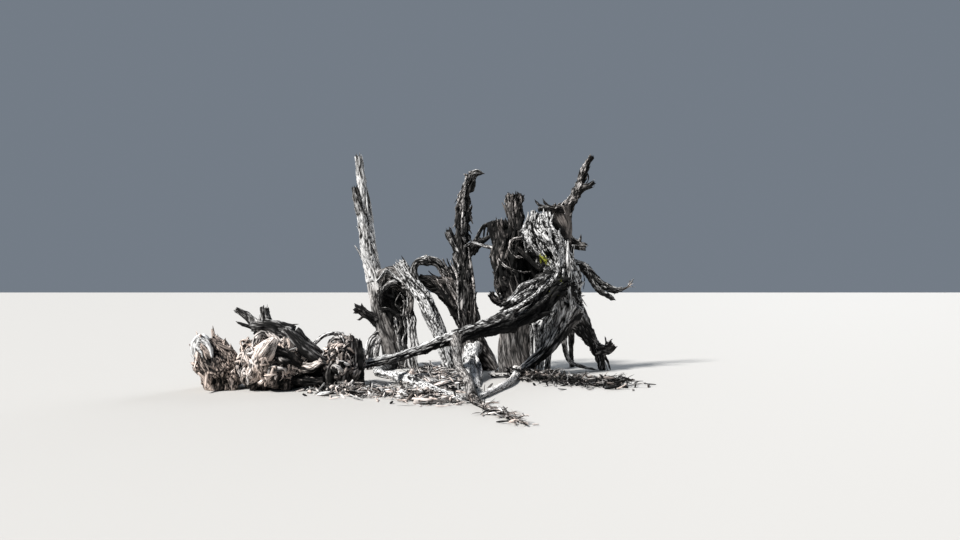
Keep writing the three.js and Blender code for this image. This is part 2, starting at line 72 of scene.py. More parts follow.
# The source's limbs, in millimetres: grows names the limb that one starts in
# and how far along, through is its line and across its thickness there.
LIMBS = {
    "main_trunk": dict(
        through=[(15, 0, -60), (0, 20, 760), (20, 50, 1500), (-30, 90, 2250), (-40, 110, 2770),
                 (-35, 130, 3260)],
        across=[610, 550, 700, 580, 350, 290], splinter=80),
    "crown_slab": dict(
        through=[(980, -120, 1060), (800, -250, 1800), (490, -340, 2300), (410, -330, 2600),
                 (415, -320, 2870)],
        across=[380, 540, 680, 590, 330], flat=0.5, splinter=80),
    "right_column": dict(
        through=[(1010, 60, 1000), (980, 40, 1830), (885, 10, 2480), (870, 0, 3000)],
        across=[370, 270, 220, 180]),
    "middle_snag": dict(
        through=[(-610, 350, -60), (-900, 320, 740), (-965, 300, 1690), (-1010, 300, 2450), (-990, 300, 3110),
                 (-920, 290, 3460), (-850, 280, 3670)],
        across=[560, 380, 330, 200, 200, 140, 140]),
    "left_snag": dict(
        through=[(-2270, 800, -60), (-2500, 740, 700), (-2700, 700, 1480), (-2830, 700, 2280),
                 (-2940, 700, 3160), (-3060, 700, 4060)],
        across=[480, 410, 320, 260, 200, 160], splinter=130),
    "trunk_shoulder": dict(
        grows=("main_trunk", 0.36), through=[(-290, -40, 2020), (-322, -20, 2430), (-378, 0, 2740)],
        across=[380, 290, 260, 150], splinter=90),
    "top_branch": dict(
        grows=("right_column", 0.93), through=[(1120, 0, 3360), (1250, 20, 3720), (1385, 40, 3980)],
        across=[190, 165, 145, 70], splinter=60),
    "top_fork": dict(
        grows=("top_branch", 0.3), through=[(1280, -60, 3400), (1410, -90, 3490)], across=[110, 105, 50],
        splinter=40),
    "slab_web": dict(
        through=[(905, -60, 2300), (830, -90, 2720), (770, -110, 3000)], across=[90, 330, 430], flat=0.16,
        splinter=50),
    "right_stub": dict(
        grows=("right_column", 0.62), through=[(1120, 20, 2340), (1260, 10, 2300)], across=[210, 170, 110],
        splinter=50),
    "right_limb": dict(
        grows=("right_column", 0.4),
        through=[(1260, 120, 1930), (1530, 200, 1650), (1810, 260, 1500), (2000, 290, 1510)],
        across=[250, 170, 150, 110, 70]),
    "right_limb_fork": dict(
        grows=("right_limb", 0.24), through=[(1490, 80, 1530), (1680, 80, 1400), (1840, 80, 1310)],
        across=[120, 95, 90, 50], point=True),
    "long_limb_root": dict(
        grows=("crown_slab", 0.2), through=[(560, -550, 1510), (210, -760, 1170), (-240, -980, 960)],
        across=[430, 450, 410, 310], flat=0.8),
    "long_limb_reach": dict(
        grows=("long_limb_root", 0.94),
        through=[(-770, -1220, 800), (-1500, -1500, 590), (-2120, -1680, 400), (-2560, -1790, 310)],
        across=[310, 240, 175, 140, 120], splinter=60),
    "over_limb": dict(
        grows=("crown_slab", 0.25), through=[(160, -640, 1500), (-260, -850, 1210)], across=[280, 220, 160],
        splinter=60),
    "trunk_stub": dict(
        grows=("main_trunk", 0.32), through=[(-360, -180, 1290), (-490, -260, 1420)], across=[190, 150, 100],
        splinter=60),
    "right_leg": dict(
        grows=("right_column", 0.03), through=[(1270, 100, 740), (1490, 200, 410), (1650, 280, -60)],
        across=[350, 280, 170, 90]),
    "front_leg": dict(
        grows=("crown_slab", 0.04), through=[(740, -300, 680), (420, -450, 350), (-130, -570, -50)],
        across=[380, 350, 260, 160]),
    "back_leg": dict(
        grows=("right_column", 0.02), through=[(1040, 400, 520), (1080, 640, 170), (1110, 760, -40)],
        across=[220, 120, 95, 110]),
    "leg_knob": dict(
        grows=("right_leg", 0.68), through=[(1690, 200, 400), (1800, 190, 480)], across=[150, 170, 170],
        splinter=60),
    "side_root": dict(
        grows=("front_leg", 0.26), through=[(930, -60, 250), (1220, 50, 80), (1500, 110, 15)],
        across=[170, 130, 90, 60], point=True),
    "curtain_rib_1": dict(
        grows=("long_limb_root", 0.12), through=[(430, -330, 630), (280, -400, -40)], across=[160, 130, 150]),
    "curtain_rib_2": dict(
        grows=("crown_slab", 0.1), through=[(620, -160, 640), (520, -130, -40)], across=[180, 150, 150]),
    "snag_hook": dict(
        grows=("middle_snag", 0.985), through=[(-740, 250, 3710), (-600, 220, 3700)], across=[130, 110, 65],
        point=True),
    "snag_prong": dict(
        grows=("middle_snag", 0.4), through=[(-1175, 220, 2350), (-1275, 200, 2620)], across=[200, 160, 110],
        splinter=70),
    "bridge_limb": dict(
        grows=("trunk_shoulder", 0.92), through=[(-510, 100, 2680), (-660, 190, 2520), (-860, 290, 2200)],
        across=[200, 260, 220, 170], flat=0.5),
    "bridge_twig": dict(
        grows=("trunk_shoulder", 0.5), through=[(-610, 100, 2330), (-840, 130, 2380), (-990, 170, 2300)],
        across=[80, 65, 65, 45], point=True),
    "arch_fall": dict(
        grows=("middle_snag", 0.33), through=[(-1330, 250, 1850), (-1510, 200, 2010), (-1680, 170, 2060)],
        across=[200, 170, 165, 150]),
    "dark_bough": dict(
        grows=("middle_snag", 0.21), through=[(-1290, 300, 1430), (-1560, 260, 1610), (-1840, 200, 1710)],
        across=[330, 430, 330, 150], flat=0.55),
    "arch_rise": dict(
        grows=("arch_fall", 0.97), through=[(-1850, 150, 2020), (-1910, 130, 1880), (-1850, 170, 1670)],
        across=[150, 130, 125, 130]),
    "bleached_bough": dict(
        through=[(-1190, -280, -40), (-1460, -60, 780), (-1640, 60, 1160), (-1830, 150, 1470),
                 (-2200, 300, 1990)],
        across=[250, 280, 280, 260, 230], splinter=110),
    "pale_foot": dict(
        grows=("middle_snag", 0.1), through=[(-880, -700, 275), (-800, -1400, 115), (-720, -2060, -20)],
        across=[230, 240, 190, 110]),
    "hood_back": dict(
        grows=("left_snag", 0.02), through=[(-2350, 640, 1000), (-2350, 600, 1500), (-2330, 540, 1760)],
        across=[360, 500, 540, 320], flat=0.36, splinter=60),
    "hood_roof": dict(
        grows=("left_snag", 0.42), through=[(-2480, 560, 1770), (-2260, 480, 1680), (-2070, 400, 1530)],
        across=[200, 280, 300, 230], flat=0.4),
    "hood_rim_left": dict(
        grows=("left_snag", 0.23), through=[(-2560, 430, 1320), (-2430, 360, 1580), (-2240, 320, 1650)],
        across=[130, 130, 120, 110]),
    "hood_rim_right": dict(
        grows=("hood_roof", 0.98), through=[(-2020, 330, 1520), (-2000, 340, 1280), (-2030, 380, 1000)],
        across=[200, 140, 120, 110]),
    "knobby_stub": dict(
        grows=("left_snag", 0.235), through=[(-2850, 560, 1010), (-2980, 520, 1100), (-3060, 500, 1150)],
        across=[180, 150, 180, 130], splinter=50),
    "snag_twin": dict(
        grows=("left_snag", 0.45), through=[(-2950, 620, 2700), (-3060, 610, 3150), (-3125, 610, 3470)],
        across=[190, 175, 150, 110], splinter=60),
    "snag_flare": dict(
        grows=("left_snag", 0.19), through=[(-2760, 560, 540), (-2850, 300, -40)], across=[140, 130, 140]),
    "hood_strand_1": dict(
        grows=("hood_back", 0.36), through=[(-2240, 420, 640), (-2190, 440, -40)], across=[170, 130, 160]),
    "hood_strand_2": dict(
        grows=("hood_rim_right", 0.95), through=[(-1960, 370, 640), (-1930, 360, -40)],
        across=[150, 150, 180]),
    "front_root": dict(
        grows=("long_limb_reach", 0.36), through=[(-1030, -2000, 390), (-870, -2750, 210), (-780, -3560, 50)],
        across=[170, 120, 130, 190], face=UPWARDS),
    "pale_root": dict(
        grows=("left_snag", 0.03),
        through=[(-2500, -500, 60), (-2050, -1250, 55), (-1530, -2300, 50), (-1180, -3000, 35),
                 (-890, -3480, 30)],
        across=[160, 150, 170, 150, 110, 80], face=UPWARDS),
    "right_root": dict(
        grows=("main_trunk", 0.025),
        through=[(-80, -1100, 50), (-260, -2000, 45), (-540, -2850, 40), (-760, -3430, 30)],
        across=[180, 120, 110, 95, 80], face=UPWARDS),
    "fallen_log": dict(
        through=[(-3620, -2050, 780), (-3900, -2050, 890), (-4170, -2000, 900)], across=[280, 290, 200],
        splinter=60),
    "fallen_log_tail": dict(
        through=[(-3632, -2050, 785), (-3400, -2000, 570), (-3190, -1950, 420), (-2960, -1900, 320)],
        across=[275, 240, 210, 150]),
    "log_stub": dict(
        through=[(-4033, -2030, 893), (-4050, -2000, 1060), (-4050, -2000, 1210)], across=[180, 150, 125],
        splinter=60),
    "log_branch": dict(
        through=[(-4092, -2018, 897), (-4290, -2000, 1070), (-4480, -2000, 1190)], across=[150, 115, 75],
        splinter=40),
    "log_twig": dict(
        through=[(-4148, -2005, 900), (-4310, -2090, 955), (-4460, -2100, 1015)], across=[70, 50, 30],
        point=True),
    "fallen_stump": dict(
        through=[(-4590, -2120, -40), (-4700, -2120, 230), (-4790, -2150, 470), (-4900, -2180, 720)],
        across=[620, 710, 600, 320], splinter=50),
    "arched_shoot": dict(
        through=[(-3350, -1740, 620), (-3160, -1710, 775), (-2920, -1710, 795), (-2790, -1780, 690)],
        across=[62, 58, 54, 60]),
}

# How each limb looks. A row of numbers is spread evenly along the limb.
# Tone, mostly from 0 to 1: bleach is how pale the wood is and warm how brown,
# clefts is how strong the painted shade in its cracks and grooves and the
# painted highlight on its ridges are, streaks how strong its painted streaks,
# tilt is the painted light that sides facing up and left, towards the sun,
# gain, and back what far sides gain.
# Relief: rough scales its height, coarse the width of its ropes of grain and
# stretch their length, ridges the height of the widest ones, and plates that
# of torn plates. More cracks gives more long cracks, as wide as gash says, and
# checks deepens short ones across the grain. twist is in radians a metre.
# Shape: slim scales the thickness, mesh the size of a face and jags the broken
# end, which is hollowed by cup, in metres. The share before starts is left out.
# slivers and shards count the thin and the broad splinters that stand off it.
BASE_LOOK = dict(
    bleach=0.45, warm=0.25, streaks=1.0, clefts=1.0, tilt=0.25, back=0.1, rough=1.0, coarse=0.75,
    stretch=5.0, ridges=1.0, plates=0.4, cracks=0.0, gash=0.15, checks=0.0, twist=0.5, slim=1.0,
    mesh=1.0, jags=1.0, cup=0.05, starts=0.0, slivers=6, shards=0, slot="grey_wood")
LOOKS = {
    # The dark middle of the main trunk is partly dark wood and partly painted shade, where the slab shades
    # its near side; back makes its far side paler.
    "main_trunk": dict(
        bleach=(0.42, 0.38, 0.08, 0.05, 0.22, 0.62), warm=(0.25, 0.3, 0.5, 0.4),
        streaks=(0.35, 0.4, 0.9, 1.0), clefts=(0.25, 0.4, 1.0, 1.0), back=0.38,
        rough=(0.2, 0.3, 1.2, 1.2), stretch=6, plates=(0.0, 0.1, 1.2, 1.2), cracks=0.15,
        checks=(0, 0, 0, 0.3, 1.2), twist=0.2, slim=(1, 1, 1, 1, 1, 1, 1, 1, 0.9, 0.7, 0.78), cup=0.12,
        slivers=50, shards=50, slot="dark_wood"),
    "trunk_shoulder": dict(
        bleach=0.22, warm=0.4, back=0.25, plates=1.2, cracks=0.2, slim=(1.0, 0.9, 0.85, 1.0),
        slivers=12, shards=14, slot="dark_wood"),
    "crown_slab": dict(
        bleach=(0.8, 1.1, 1.1, 1.0), warm=0.0, streaks=0.42, rough=1.15, coarse=0.48, stretch=2.6,
        ridges=0.36, plates=1.0, cracks=0.2, gash=0.17, checks=0.6, twist=(0.3, 0.5, 1.0, 1.8),
        slim=(0.85, 0.8, 0.92, 1.0, 1.0), mesh=0.78, slivers=40, shards=30, slot="bleached_wood"),
    "right_column": dict(
        bleach=(0.9, 1.15, 1.1, 0.45), warm=0.1, streaks=0.5, coarse=0.9, stretch=8, ridges=0.7,
        cracks=0.3, gash=0.2, twist=0.4, slim=(0.85, 0.65, 0.8, 1.0), slivers=8, shards=8),
    "middle_snag": dict(
        bleach=(0.55, 0.5, 0.32, 0.2, 0.36, 0.62), warm=0.3, clefts=(0.4, 0.7, 1.0), back=0.2,
        rough=(0.4, 0.6, 1.2, 1.2), coarse=0.6, plates=(0.1, 0.4, 1.2, 1.2), cracks=0.2, twist=0.4,
        slivers=60, shards=60, slot="dark_wood"),
    "left_snag": dict(
        bleach=(0.36, 0.72, 1.0, 0.95), warm=(0.45, 0.35, 0.0, 0.1), streaks=(0.25, 0.4, 0.4, 0.6),
        clefts=(0.15, 0.4, 0.5, 0.8), tilt=0.3, rough=(0.3, 0.5, 0.6, 0.8), coarse=0.8,
        plates=(0.0, 0.2, 0.4), twist=0.25, cup=0.08, shards=8),
    "snag_twin": dict(
        bleach=(0.95, 0.9, 0.85, 0.3), warm=0.15, streaks=0.5, clefts=0.6, plates=0.6, slivers=10, shards=12),
    "top_branch": dict(
        bleach=(0.55, 0.4, 0.4, 0.3), warm=0.3, plates=1.2, cracks=0.2, slivers=12, shards=18,
        slot="dark_wood"),
    "top_fork": dict(bleach=0.35, plates=1.0, shards=6, slot="dark_wood"),
    "slab_web": dict(
        bleach=0.34, warm=0.4, streaks=0.5, clefts=0.25, rough=0.1, plates=0.0, cracks=-0.5, slivers=0,
        slot="root_wood"),
    "right_limb": dict(bleach=0.5, warm=0.1, tilt=0.5, plates=0.7, cracks=0.25, slivers=12, shards=8),
    "right_limb_fork": dict(warm=0.1, tilt=0.5, plates=0.7, cracks=0.25, shards=4),
    "right_stub": dict(plates=0.9, shards=6),
    "long_limb_root": dict(
        bleach=(-0.05, 0.05, 0.18), warm=0.15, tilt=0.55, back=0.3, rough=1.3, coarse=0.6, cracks=0.35,
        twist=0.9, slivers=50, shards=24),
    "long_limb_reach": dict(
        bleach=(0.2, 0.38, 0.7, 1.0), warm=0.1, tilt=0.65, rough=1.2, cracks=0.3, twist=0.9,
        slivers=30, shards=14),
    "over_limb": dict(
        bleach=0.08, warm=0.1, back=0.3, rough=1.3, coarse=0.6, cracks=0.4, twist=1.6, slivers=16,
        shards=8, slot="bleached_wood"),
    "front_leg": dict(
        bleach=(0.55, 0.5, 0.3, 0.4), warm=0.2, streaks=0.6, tilt=0.5, coarse=1.0, stretch=7,
        twist=0.8, slim=(0.95, 0.72, 0.7, 0.75), slivers=12, shards=8, slot="dark_wood"),
    "right_leg": dict(
        bleach=0.37, warm=0.2, plates=1.0, cracks=0.2, slivers=20, shards=24, slot="dark_wood"),
    "leg_knob": dict(bleach=0.15, plates=1.0, slivers=8, shards=14, slot="dark_wood"),
    "trunk_stub": dict(bleach=0.35, warm=0.3, plates=1.0, shards=8, slot="dark_wood"),
    "side_root": dict(bleach=0.7, slim=0.6, slot="dark_wood"),
    "back_leg": dict(bleach=0.5, slim=0.75),
    "bleached_bough": dict(
        bleach=0.9, warm=0.0, streaks=0.3, rough=0.6, coarse=0.5, stretch=3.0, ridges=0.35, plates=0.3,
        gash=0.17, checks=1.5, twist=0.25, slivers=10, slot="bleached_wood"),
    "pale_foot": dict(
        bleach=0.9, warm=0.0, streaks=0.3, rough=0.35, ridges=0.3, cracks=-0.2, checks=0.5,
        slot="bleached_wood"),
    "dark_bough": dict(
        bleach=0.12, warm=0.5, back=0.3, rough=1.1, plates=0.6, slivers=10, shards=10, slot="dark_wood"),
    "bridge_limb": dict(
        bleach=0.2, plates=0.8, slim=(1.0, 1.0, 0.8, 0.95), starts=0.58, shards=6, slot="dark_wood"),
    "bridge_twig": dict(bleach=0.7, warm=0.2, rough=0.6, slivers=2),
    "arch_fall": dict(bleach=0.75, warm=0.35, plates=0.7, slim=(0.8, 0.85, 0.9, 1.0), shards=6),
    "arch_rise": dict(bleach=0.55, warm=0.2, slim=(1.0, 0.85, 0.85)),
    # The hood's back is dark as painted shade inside the hood; back makes its far side paler.
    "hood_back": dict(
        bleach=(0.3, 0.2, 0.0, 0.0), warm=0.5, back=0.5, plates=0.6, mesh=1.3, slot="dark_wood"),
    "hood_roof": dict(
        bleach=0.42, warm=0.3, streaks=0.5, clefts=0.5, rough=0.5, plates=0.2, slot="root_wood"),
    "knobby_stub": dict(bleach=0.2, warm=0.3, plates=1.0, slivers=8, shards=12, slot="dark_wood"),
    "hood_strand_1": dict(bleach=0.8, warm=0.3, slim=0.5, slot="bleached_wood"),
    "hood_strand_2": dict(bleach=0.85, warm=0.2, slim=0.5, slot="bleached_wood"),
    "curtain_rib_1": dict(
        bleach=1.3, warm=0.05, streaks=0.6, coarse=0.5, cracks=0.3, slot="bleached_wood"),
    "curtain_rib_2": dict(
        bleach=1.3, warm=0.05, streaks=0.6, coarse=0.5, cracks=0.3, slim=0.7, slot="bleached_wood"),
    "snag_flare": dict(bleach=0.85, slot="bleached_wood"),
    "pale_root": dict(
        bleach=(0.4, 0.8, 1.05, 1.1, 1.0), warm=0.0, streaks=0.35, rough=0.5, stretch=3.5, ridges=0.4,
        cracks=-0.2, checks=1.3, slot="bleached_wood"),
    "right_root": dict(bleach=1.05, warm=0.35, streaks=0.6, clefts=0.6, rough=0.5, slot="bleached_wood"),
    "front_root": dict(
        bleach=(0.4, 0.4, 0.4, 0.3), warm=0.35, streaks=0.4, clefts=0.45, rough=0.4, stretch=7,
        plates=0.0, twist=1.2, slim=(0.95, 1.0, 1.1, 1.0), slivers=2),
    "fallen_log": dict(
        bleach=0.36, warm=0.2, streaks=0.7, plates=0.5, slivers=10, shards=6, slot="dark_wood"),
    "fallen_log_tail": dict(
        bleach=0.32, warm=0.15, streaks=0.6, rough=0.6, stretch=8, plates=0.2, slivers=4, slot="dark_wood"),
    "log_stub": dict(bleach=0.6, plates=0.9, shards=8),
    "fallen_stump": dict(
        bleach=0.7, warm=0.75, streaks=0.7, clefts=0.7, rough=0.8, coarse=0.4, stretch=1.2, plates=0.5,
        jags=0.3, cup=0.03, slivers=40, shards=24, slot="root_wood"),
    "arched_shoot": dict(bleach=0.9, warm=0.2, rough=0.5, slivers=0, slot="bleached_wood"),
}

# The bare wood that arches over the fallen stump.
STUMP_CAP = dict(bleach=1.3, warm=0.0, rough=0.4, cracks=-0.3, clefts=0.4, streaks=0.4)

# More strands of the same piece, in millimetres: the line and its thickness.
# Each may end with changes to the look of its limb.
STRANDS = {
    "main_trunk": [
        ([(-340, -180, 2060), (-230, -300, 1930), (-60, -340, 1850), (100, -350, 1815), (246, -330, 1830)],
         [50, 45, 40, 40, 20], dict(bleach=0.7)),
        ([(60, -280, 2440), (-60, -320, 2430), (-134, -330, 2360), (-125, -330, 2220), (-37, -330, 2110),
          (100, -320, 2085)], [40, 50, 60, 56, 46, 30], dict(bleach=0.95)),
        ([(-60, -250, 2330), (60, -310, 2200), (240, -310, 2010), (420, -330, 1840)], [70, 80, 80, 60],
         dict(bleach=0.25)),
        # The strands whose bleach is 0.15 or 0.0 are partly dark wood and partly painted shade of the recess
        # between the trunk and the slab.
        ([(180, -170, 2500), (300, -200, 2200), (440, -230, 1950), (600, -250, 1700)], [90, 110, 110, 80],
         dict(bleach=0.15)),
        ([(250, -60, 2300), (330, -80, 2000), (400, -110, 1700), (520, -150, 1450)], [130, 150, 150, 100],
         dict(bleach=0.15)),
        ([(-330, -120, 1980), (-395, -200, 1780), (-405, -220, 1560), (-320, -230, 1360)], [60, 50, 46, 50],
         dict(bleach=0.5)),
        ([(-150, 60, 2500), (-190, 50, 2700), (-215, 40, 2850)], [120, 90, 40]),
        ([(240, -20, 2300), (330, -50, 1980), (460, -90, 1650)], [220, 280, 240], dict(bleach=0.0)),
    ],
    "crown_slab": [
        ([(760, -420, 2020), (850, -350, 1650), (880, -300, 1330)], [14, 80, 40], dict(bleach=1.0)),
        ([(520, -480, 2560), (690, -470, 2100), (800, -420, 1800)], [14, 80, 60], dict(bleach=1.0)),
        ([(240, -380, 2420), (330, -440, 2200), (520, -470, 1980), (660, -520, 1790)], [30, 80, 80, 50]),
        ([(180, -330, 2560), (215, -400, 2380), (300, -430, 2240)], [30, 70, 40]),
        ([(290, -420, 2500), (420, -490, 2180), (620, -520, 1900), (740, -500, 1600)], [14, 50, 50, 14]),
        ([(380, -440, 2640), (560, -490, 2300), (700, -490, 1960), (800, -430, 1640)], [14, 46, 46, 14]),
    ],
    "slab_web": [
        # These dark strands are painted shade: they stand for the black slots at the web's left and the shade
        # along its top.
        ([(560, -170, 2960), (660, -190, 2660), (770, -150, 2380)], [90, 120, 120], dict(bleach=0.05)),
        ([(590, -150, 2850), (680, -190, 2710), (760, -190, 2600), (835, -170, 2480)], [60, 130, 170, 90],
         dict(bleach=-0.5)),
        ([(700, -150, 2960), (800, -150, 2945), (880, -120, 2950)], [50, 70, 50], dict(bleach=-0.4)),
    ],
    "curtain_rib_2": [
        ([(700, -230, 1150), (590, -260, 640), (560, -270, -10)], [70, 60, 50]),
        ([(620, -330, 1120), (500, -300, 640), (400, -300, -10)], [100, 90, 80]),
    ],
    "bridge_limb": [
        ([(-330, 0, 2770), (-430, 50, 2755), (-530, 90, 2725), (-620, 150, 2690), (-680, 180, 2610),
          (-735, 210, 2500), (-800, 250, 2390)], [70, 100, 100, 76, 54, 86, 90]),
        ([(-440, 60, 2560), (-510, 100, 2500), (-580, 150, 2455), (-660, 200, 2410), (-760, 250, 2310)],
         [40, 60, 100, 140, 130]),
        ([(-700, 210, 2430), (-820, 270, 2270), (-980, 300, 2060)], [130, 150, 130]),
        ([(-530, 90, 2700), (-545, 110, 2600), (-556, 120, 2480)], [44, 30, 44]),
        ([(-598, 130, 2690), (-610, 150, 2590), (-622, 170, 2470)], [44, 32, 44]),
        ([(-455, 60, 2720), (-478, 70, 2620), (-490, 80, 2520)], [40, 26, 36], dict(bleach=0.9)),
    ],
    "curtain_rib_1": [
        ([(300, -330, 900), (330, -300, 640), (330, -300, 300), (300, -320, -10)], [90, 80, 70, 80]),
        ([(240, -280, 860), (250, -280, 500), (230, -300, -10)], [60, 60, 70], dict(bleach=0.9)),
        ([(370, -380, 880), (380, -400, 560), (330, -400, 200), (300, -420, -10)], [40, 36, 36, 40]),
    ],
    "snag_flare": [
        ([(-2690, 620, 620), (-2730, 480, 280), (-2740, 380, -10)], [90, 100, 110], dict(bleach=0.95)),
        ([(-2720, 600, 560), (-2790, 420, 260), (-2800, 330, -10)], [80, 80, 90], dict(bleach=0.8)),
        ([(-2650, 600, 500), (-2660, 430, 220), (-2640, 360, -10)], [80, 70, 70], dict(bleach=0.6)),
        ([(-2620, 640, 640), (-2670, 520, 300), (-2670, 470, -10)], [90, 90, 110], dict(bleach=0.9)),
    ],
    "hood_rim_left": [
        ([(-2582, 350, 1136), (-2409, 340, 1136), (-2256, 330, 1040), (-2103, 330, 1020), (-2064, 330, 1193)],
         [60, 60, 50, 50, 30], dict(bleach=0.7)),
        ([(-2141, 380, 1538), (-2256, 400, 1347), (-2294, 400, 1232), (-2180, 390, 1078)], [30, 34, 30, 24],
         dict(bleach=0.75)),
        ([(-2330, 420, 1500), (-2180, 400, 1400), (-2120, 390, 1250), (-2230, 380, 1130)], [24, 30, 30, 24],
         dict(bleach=0.6)),
    ],
    "hood_strand_1": [
        ([(-2125, 380, 1300), (-2118, 350, 1130), (-2135, 340, 960), (-2095, 350, 760), (-2150, 360, 520),
          (-2090, 370, 260), (-2110, 380, -10)], [44, 54, 46, 34, 44, 34, 44], dict(bleach=0.95)),
        ([(-2230, 400, 1000), (-2190, 390, 820), (-2260, 400, 600), (-2200, 400, 340), (-2240, 400, -10)],
         [30, 50, 60, 36, 50], dict(bleach=0.6, warm=0.6)),
        ([(-2300, 440, 820), (-2340, 440, 560), (-2290, 450, 300), (-2310, 460, -10)], [20, 50, 44, 50],
         dict(bleach=0.35, warm=0.5)),
    ],
    "hood_strand_2": [
        ([(-2000, 350, 1080), (-1930, 340, 860), (-1900, 330, 640), (-1850, 330, 400), (-1890, 330, 180),
          (-1840, 320, -10)], [56, 40, 50, 30, 44, 50]),
        ([(-2020, 350, 1200), (-1975, 330, 960), (-2040, 330, 720), (-1990, 330, 460), (-2040, 330, 220),
          (-2000, 330, -10)], [50, 34, 46, 30, 36, 44], dict(bleach=1.0)),
        ([(-1960, 350, 1100), (-1900, 350, 900), (-1960, 350, 640), (-1920, 350, 340), (-1970, 350, -10)],
         [40, 26, 36, 26, 40], dict(bleach=0.2)),
    ],
    "right_leg": [
        ([(1500, 180, 420), (1570, 150, 200), (1540, 120, -10)], [60, 44, 30]),
        ([(1560, 230, 360), (1700, 240, 190), (1760, 200, -10)], [60, 44, 28]),
        ([(1590, 230, 300), (1640, 160, 140), (1690, 60, -10)], [50, 36, 20]),
    ],
    "right_stub": [([(1150, 10, 2340), (1175, 0, 2450), (1190, 0, 2540)], [60, 50, 14])],
    "leg_knob": [([(1690, 195, 470), (1668, 190, 560), (1655, 190, 640)], [50, 36, 8])],
    "right_column": [
        ([(1100, 60, 1370), (1190, 60, 1385), (1270, 60, 1400)], [50, 34, 12], dict(bleach=1.0)),
        ([(1110, 60, 1190), (1180, 60, 1200), (1240, 60, 1190)], [50, 34, 10]),
        ([(1020, -90, 2330), (1010, -110, 2000), (1030, -100, 1600)], [60, 70, 50], dict(bleach=0.9)),
        ([(900, -400, 2380), (887, -440, 2090), (915, -440, 1800), (905, -430, 1520), (950, -390, 1230),
          (960, -330, 1060)], [14, 64, 84, 80, 70, 40], dict(bleach=1.15, rough=0.6, clefts=0.7)),
    ],
    "right_limb": [
        ([(1230, 110, 1890), (1262, 110, 1700), (1245, 110, 1490)], [24, 18, 10]),
        ([(1080, 60, 2050), (1210, 80, 1960), (1380, 130, 1740), (1560, 180, 1640)], [60, 60, 50, 20],
         dict(bleach=0.75)),
    ],
    "trunk_shoulder": [([(-378, 0, 2680), (-382, 0, 2790), (-388, 0, 2870)], [44, 26, 8])],
    "top_branch": [([(1250, 20, 3760), (1330, 10, 3640), (1322, 0, 3530), (1240, 0, 3420)],
                    [34, 30, 28, 30])],
    "middle_snag": [
        ([(-1060, 150, 2200), (-1080, 130, 1900), (-1104, 120, 1595), (-1070, 100, 913)], [14, 36, 40, 20],
         dict(bleach=0.95, rough=0.5)),
        ([(-900, 140, 2300), (-855, 140, 1973), (-800, 150, 1595), (-765, 150, 1027)], [14, 50, 56, 30],
         dict(bleach=0.75, warm=0.4, rough=0.4, streaks=0.5)),
        ([(-965, 160, 3374), (-1005, 140, 2995), (-1040, 120, 2540)], [14, 50, 20],
         dict(bleach=0.9, rough=0.6)),
        ([(-1030, 290, 3070), (-1085, 285, 3150), (-1115, 280, 3240)], [90, 60, 16]),
        ([(-1060, 290, 2600), (-1130, 285, 2740), (-1155, 280, 2880)], [110, 80, 18]),
        ([(-900, 260, 2960), (-850, 255, 3060), (-835, 250, 3130)], [60, 40, 10]),
    ],
    "snag_prong": [([(-1200, 215, 2380), (-1300, 205, 2490), (-1350, 200, 2600)], [80, 54, 14])],
    "left_snag": [
        ([(-2880, 690, 1950), (-2990, 690, 2130), (-3070, 690, 2280), (-3140, 690, 2380)], [60, 44, 30, 10],
         dict(bleach=0.9)),
        ([(-2860, 560, 2430), (-2780, 560, 2390), (-2698, 592, 2235), (-2655, 625, 2060)], [12, 30, 28, 16],
         dict(bleach=1.25, rough=0.4)),
        # These two dark strands are painted shade: the crack beside the pale rib, and the black crack between
        # the twin and the main shaft.
        ([(-2900, 566, 2415), (-2812, 562, 2365), (-2725, 586, 2210), (-2682, 612, 2050)], [10, 30, 28, 14],
         dict(bleach=-0.6)),
        ([(-2988, 640, 3070), (-2965, 620, 2940), (-2940, 610, 2800)], [14, 26, 14], dict(bleach=-0.7)),
    ],
    "hood_roof": [
        ([(-2658, 400, 1650), (-2560, 400, 1770), (-2467, 400, 1862), (-2300, 380, 1750), (-2122, 360, 1610)],
         [40, 56, 56, 54, 36], dict(bleach=1.25, warm=0.0)),
    ],
    "knobby_stub": [
        ([(-2960, 520, 1110), (-3060, 520, 1190), (-3100, 520, 1250)], [90, 70, 30]),
        ([(-2980, 520, 1100), (-3080, 500, 1070), (-3125, 490, 1050)], [80, 60, 24]),
        ([(-2900, 540, 1050), (-2950, 520, 1180), (-2960, 510, 1255)], [80, 56, 20]),
        ([(-2900, 540, 1030), (-2990, 510, 940), (-3050, 490, 930)], [80, 50, 16]),
    ],
    "trunk_stub": [([(-360, -190, 1280), (-440, -240, 1400), (-430, -250, 1490)], [80, 56, 18])],
    "top_fork": [([(1250, -50, 3370), (1370, -40, 3400), (1420, -30, 3400)], [60, 44, 14])],
    "dark_bough": [
        ([(-1120, 180, 1150), (-1300, 160, 1340), (-1500, 150, 1600), (-1700, 150, 1760)], [90, 90, 80, 30]),
        ([(-1080, 200, 1300), (-1220, 170, 1560), (-1340, 170, 1740)], [90, 80, 50], dict(bleach=0.6)),
        ([(-1440, 110, 1840), (-1300, 110, 1620), (-1150, 130, 1350), (-1080, 150, 1180)], [20, 44, 44, 40],
         dict(bleach=0.85)),
        ([(-1520, 110, 1740), (-1350, 110, 1500), (-1190, 130, 1240)], [20, 40, 34], dict(bleach=0.6)),
    ],
    "long_limb_root": [
        ([(690, -490, 2000), (690, -560, 1800), (570, -690, 1620), (380, -830, 1470)], [70, 80, 80, 40],
         dict(bleach=1.05, rough=0.7)),
        ([(790, -440, 1950), (790, -520, 1720), (700, -620, 1560), (560, -740, 1440)], [70, 80, 70, 30],
         dict(bleach=0.95, rough=0.7)),
        ([(678, -480, 1780), (465, -700, 1632), (300, -850, 1435), (103, -980, 1303), (-62, -1060, 1205),
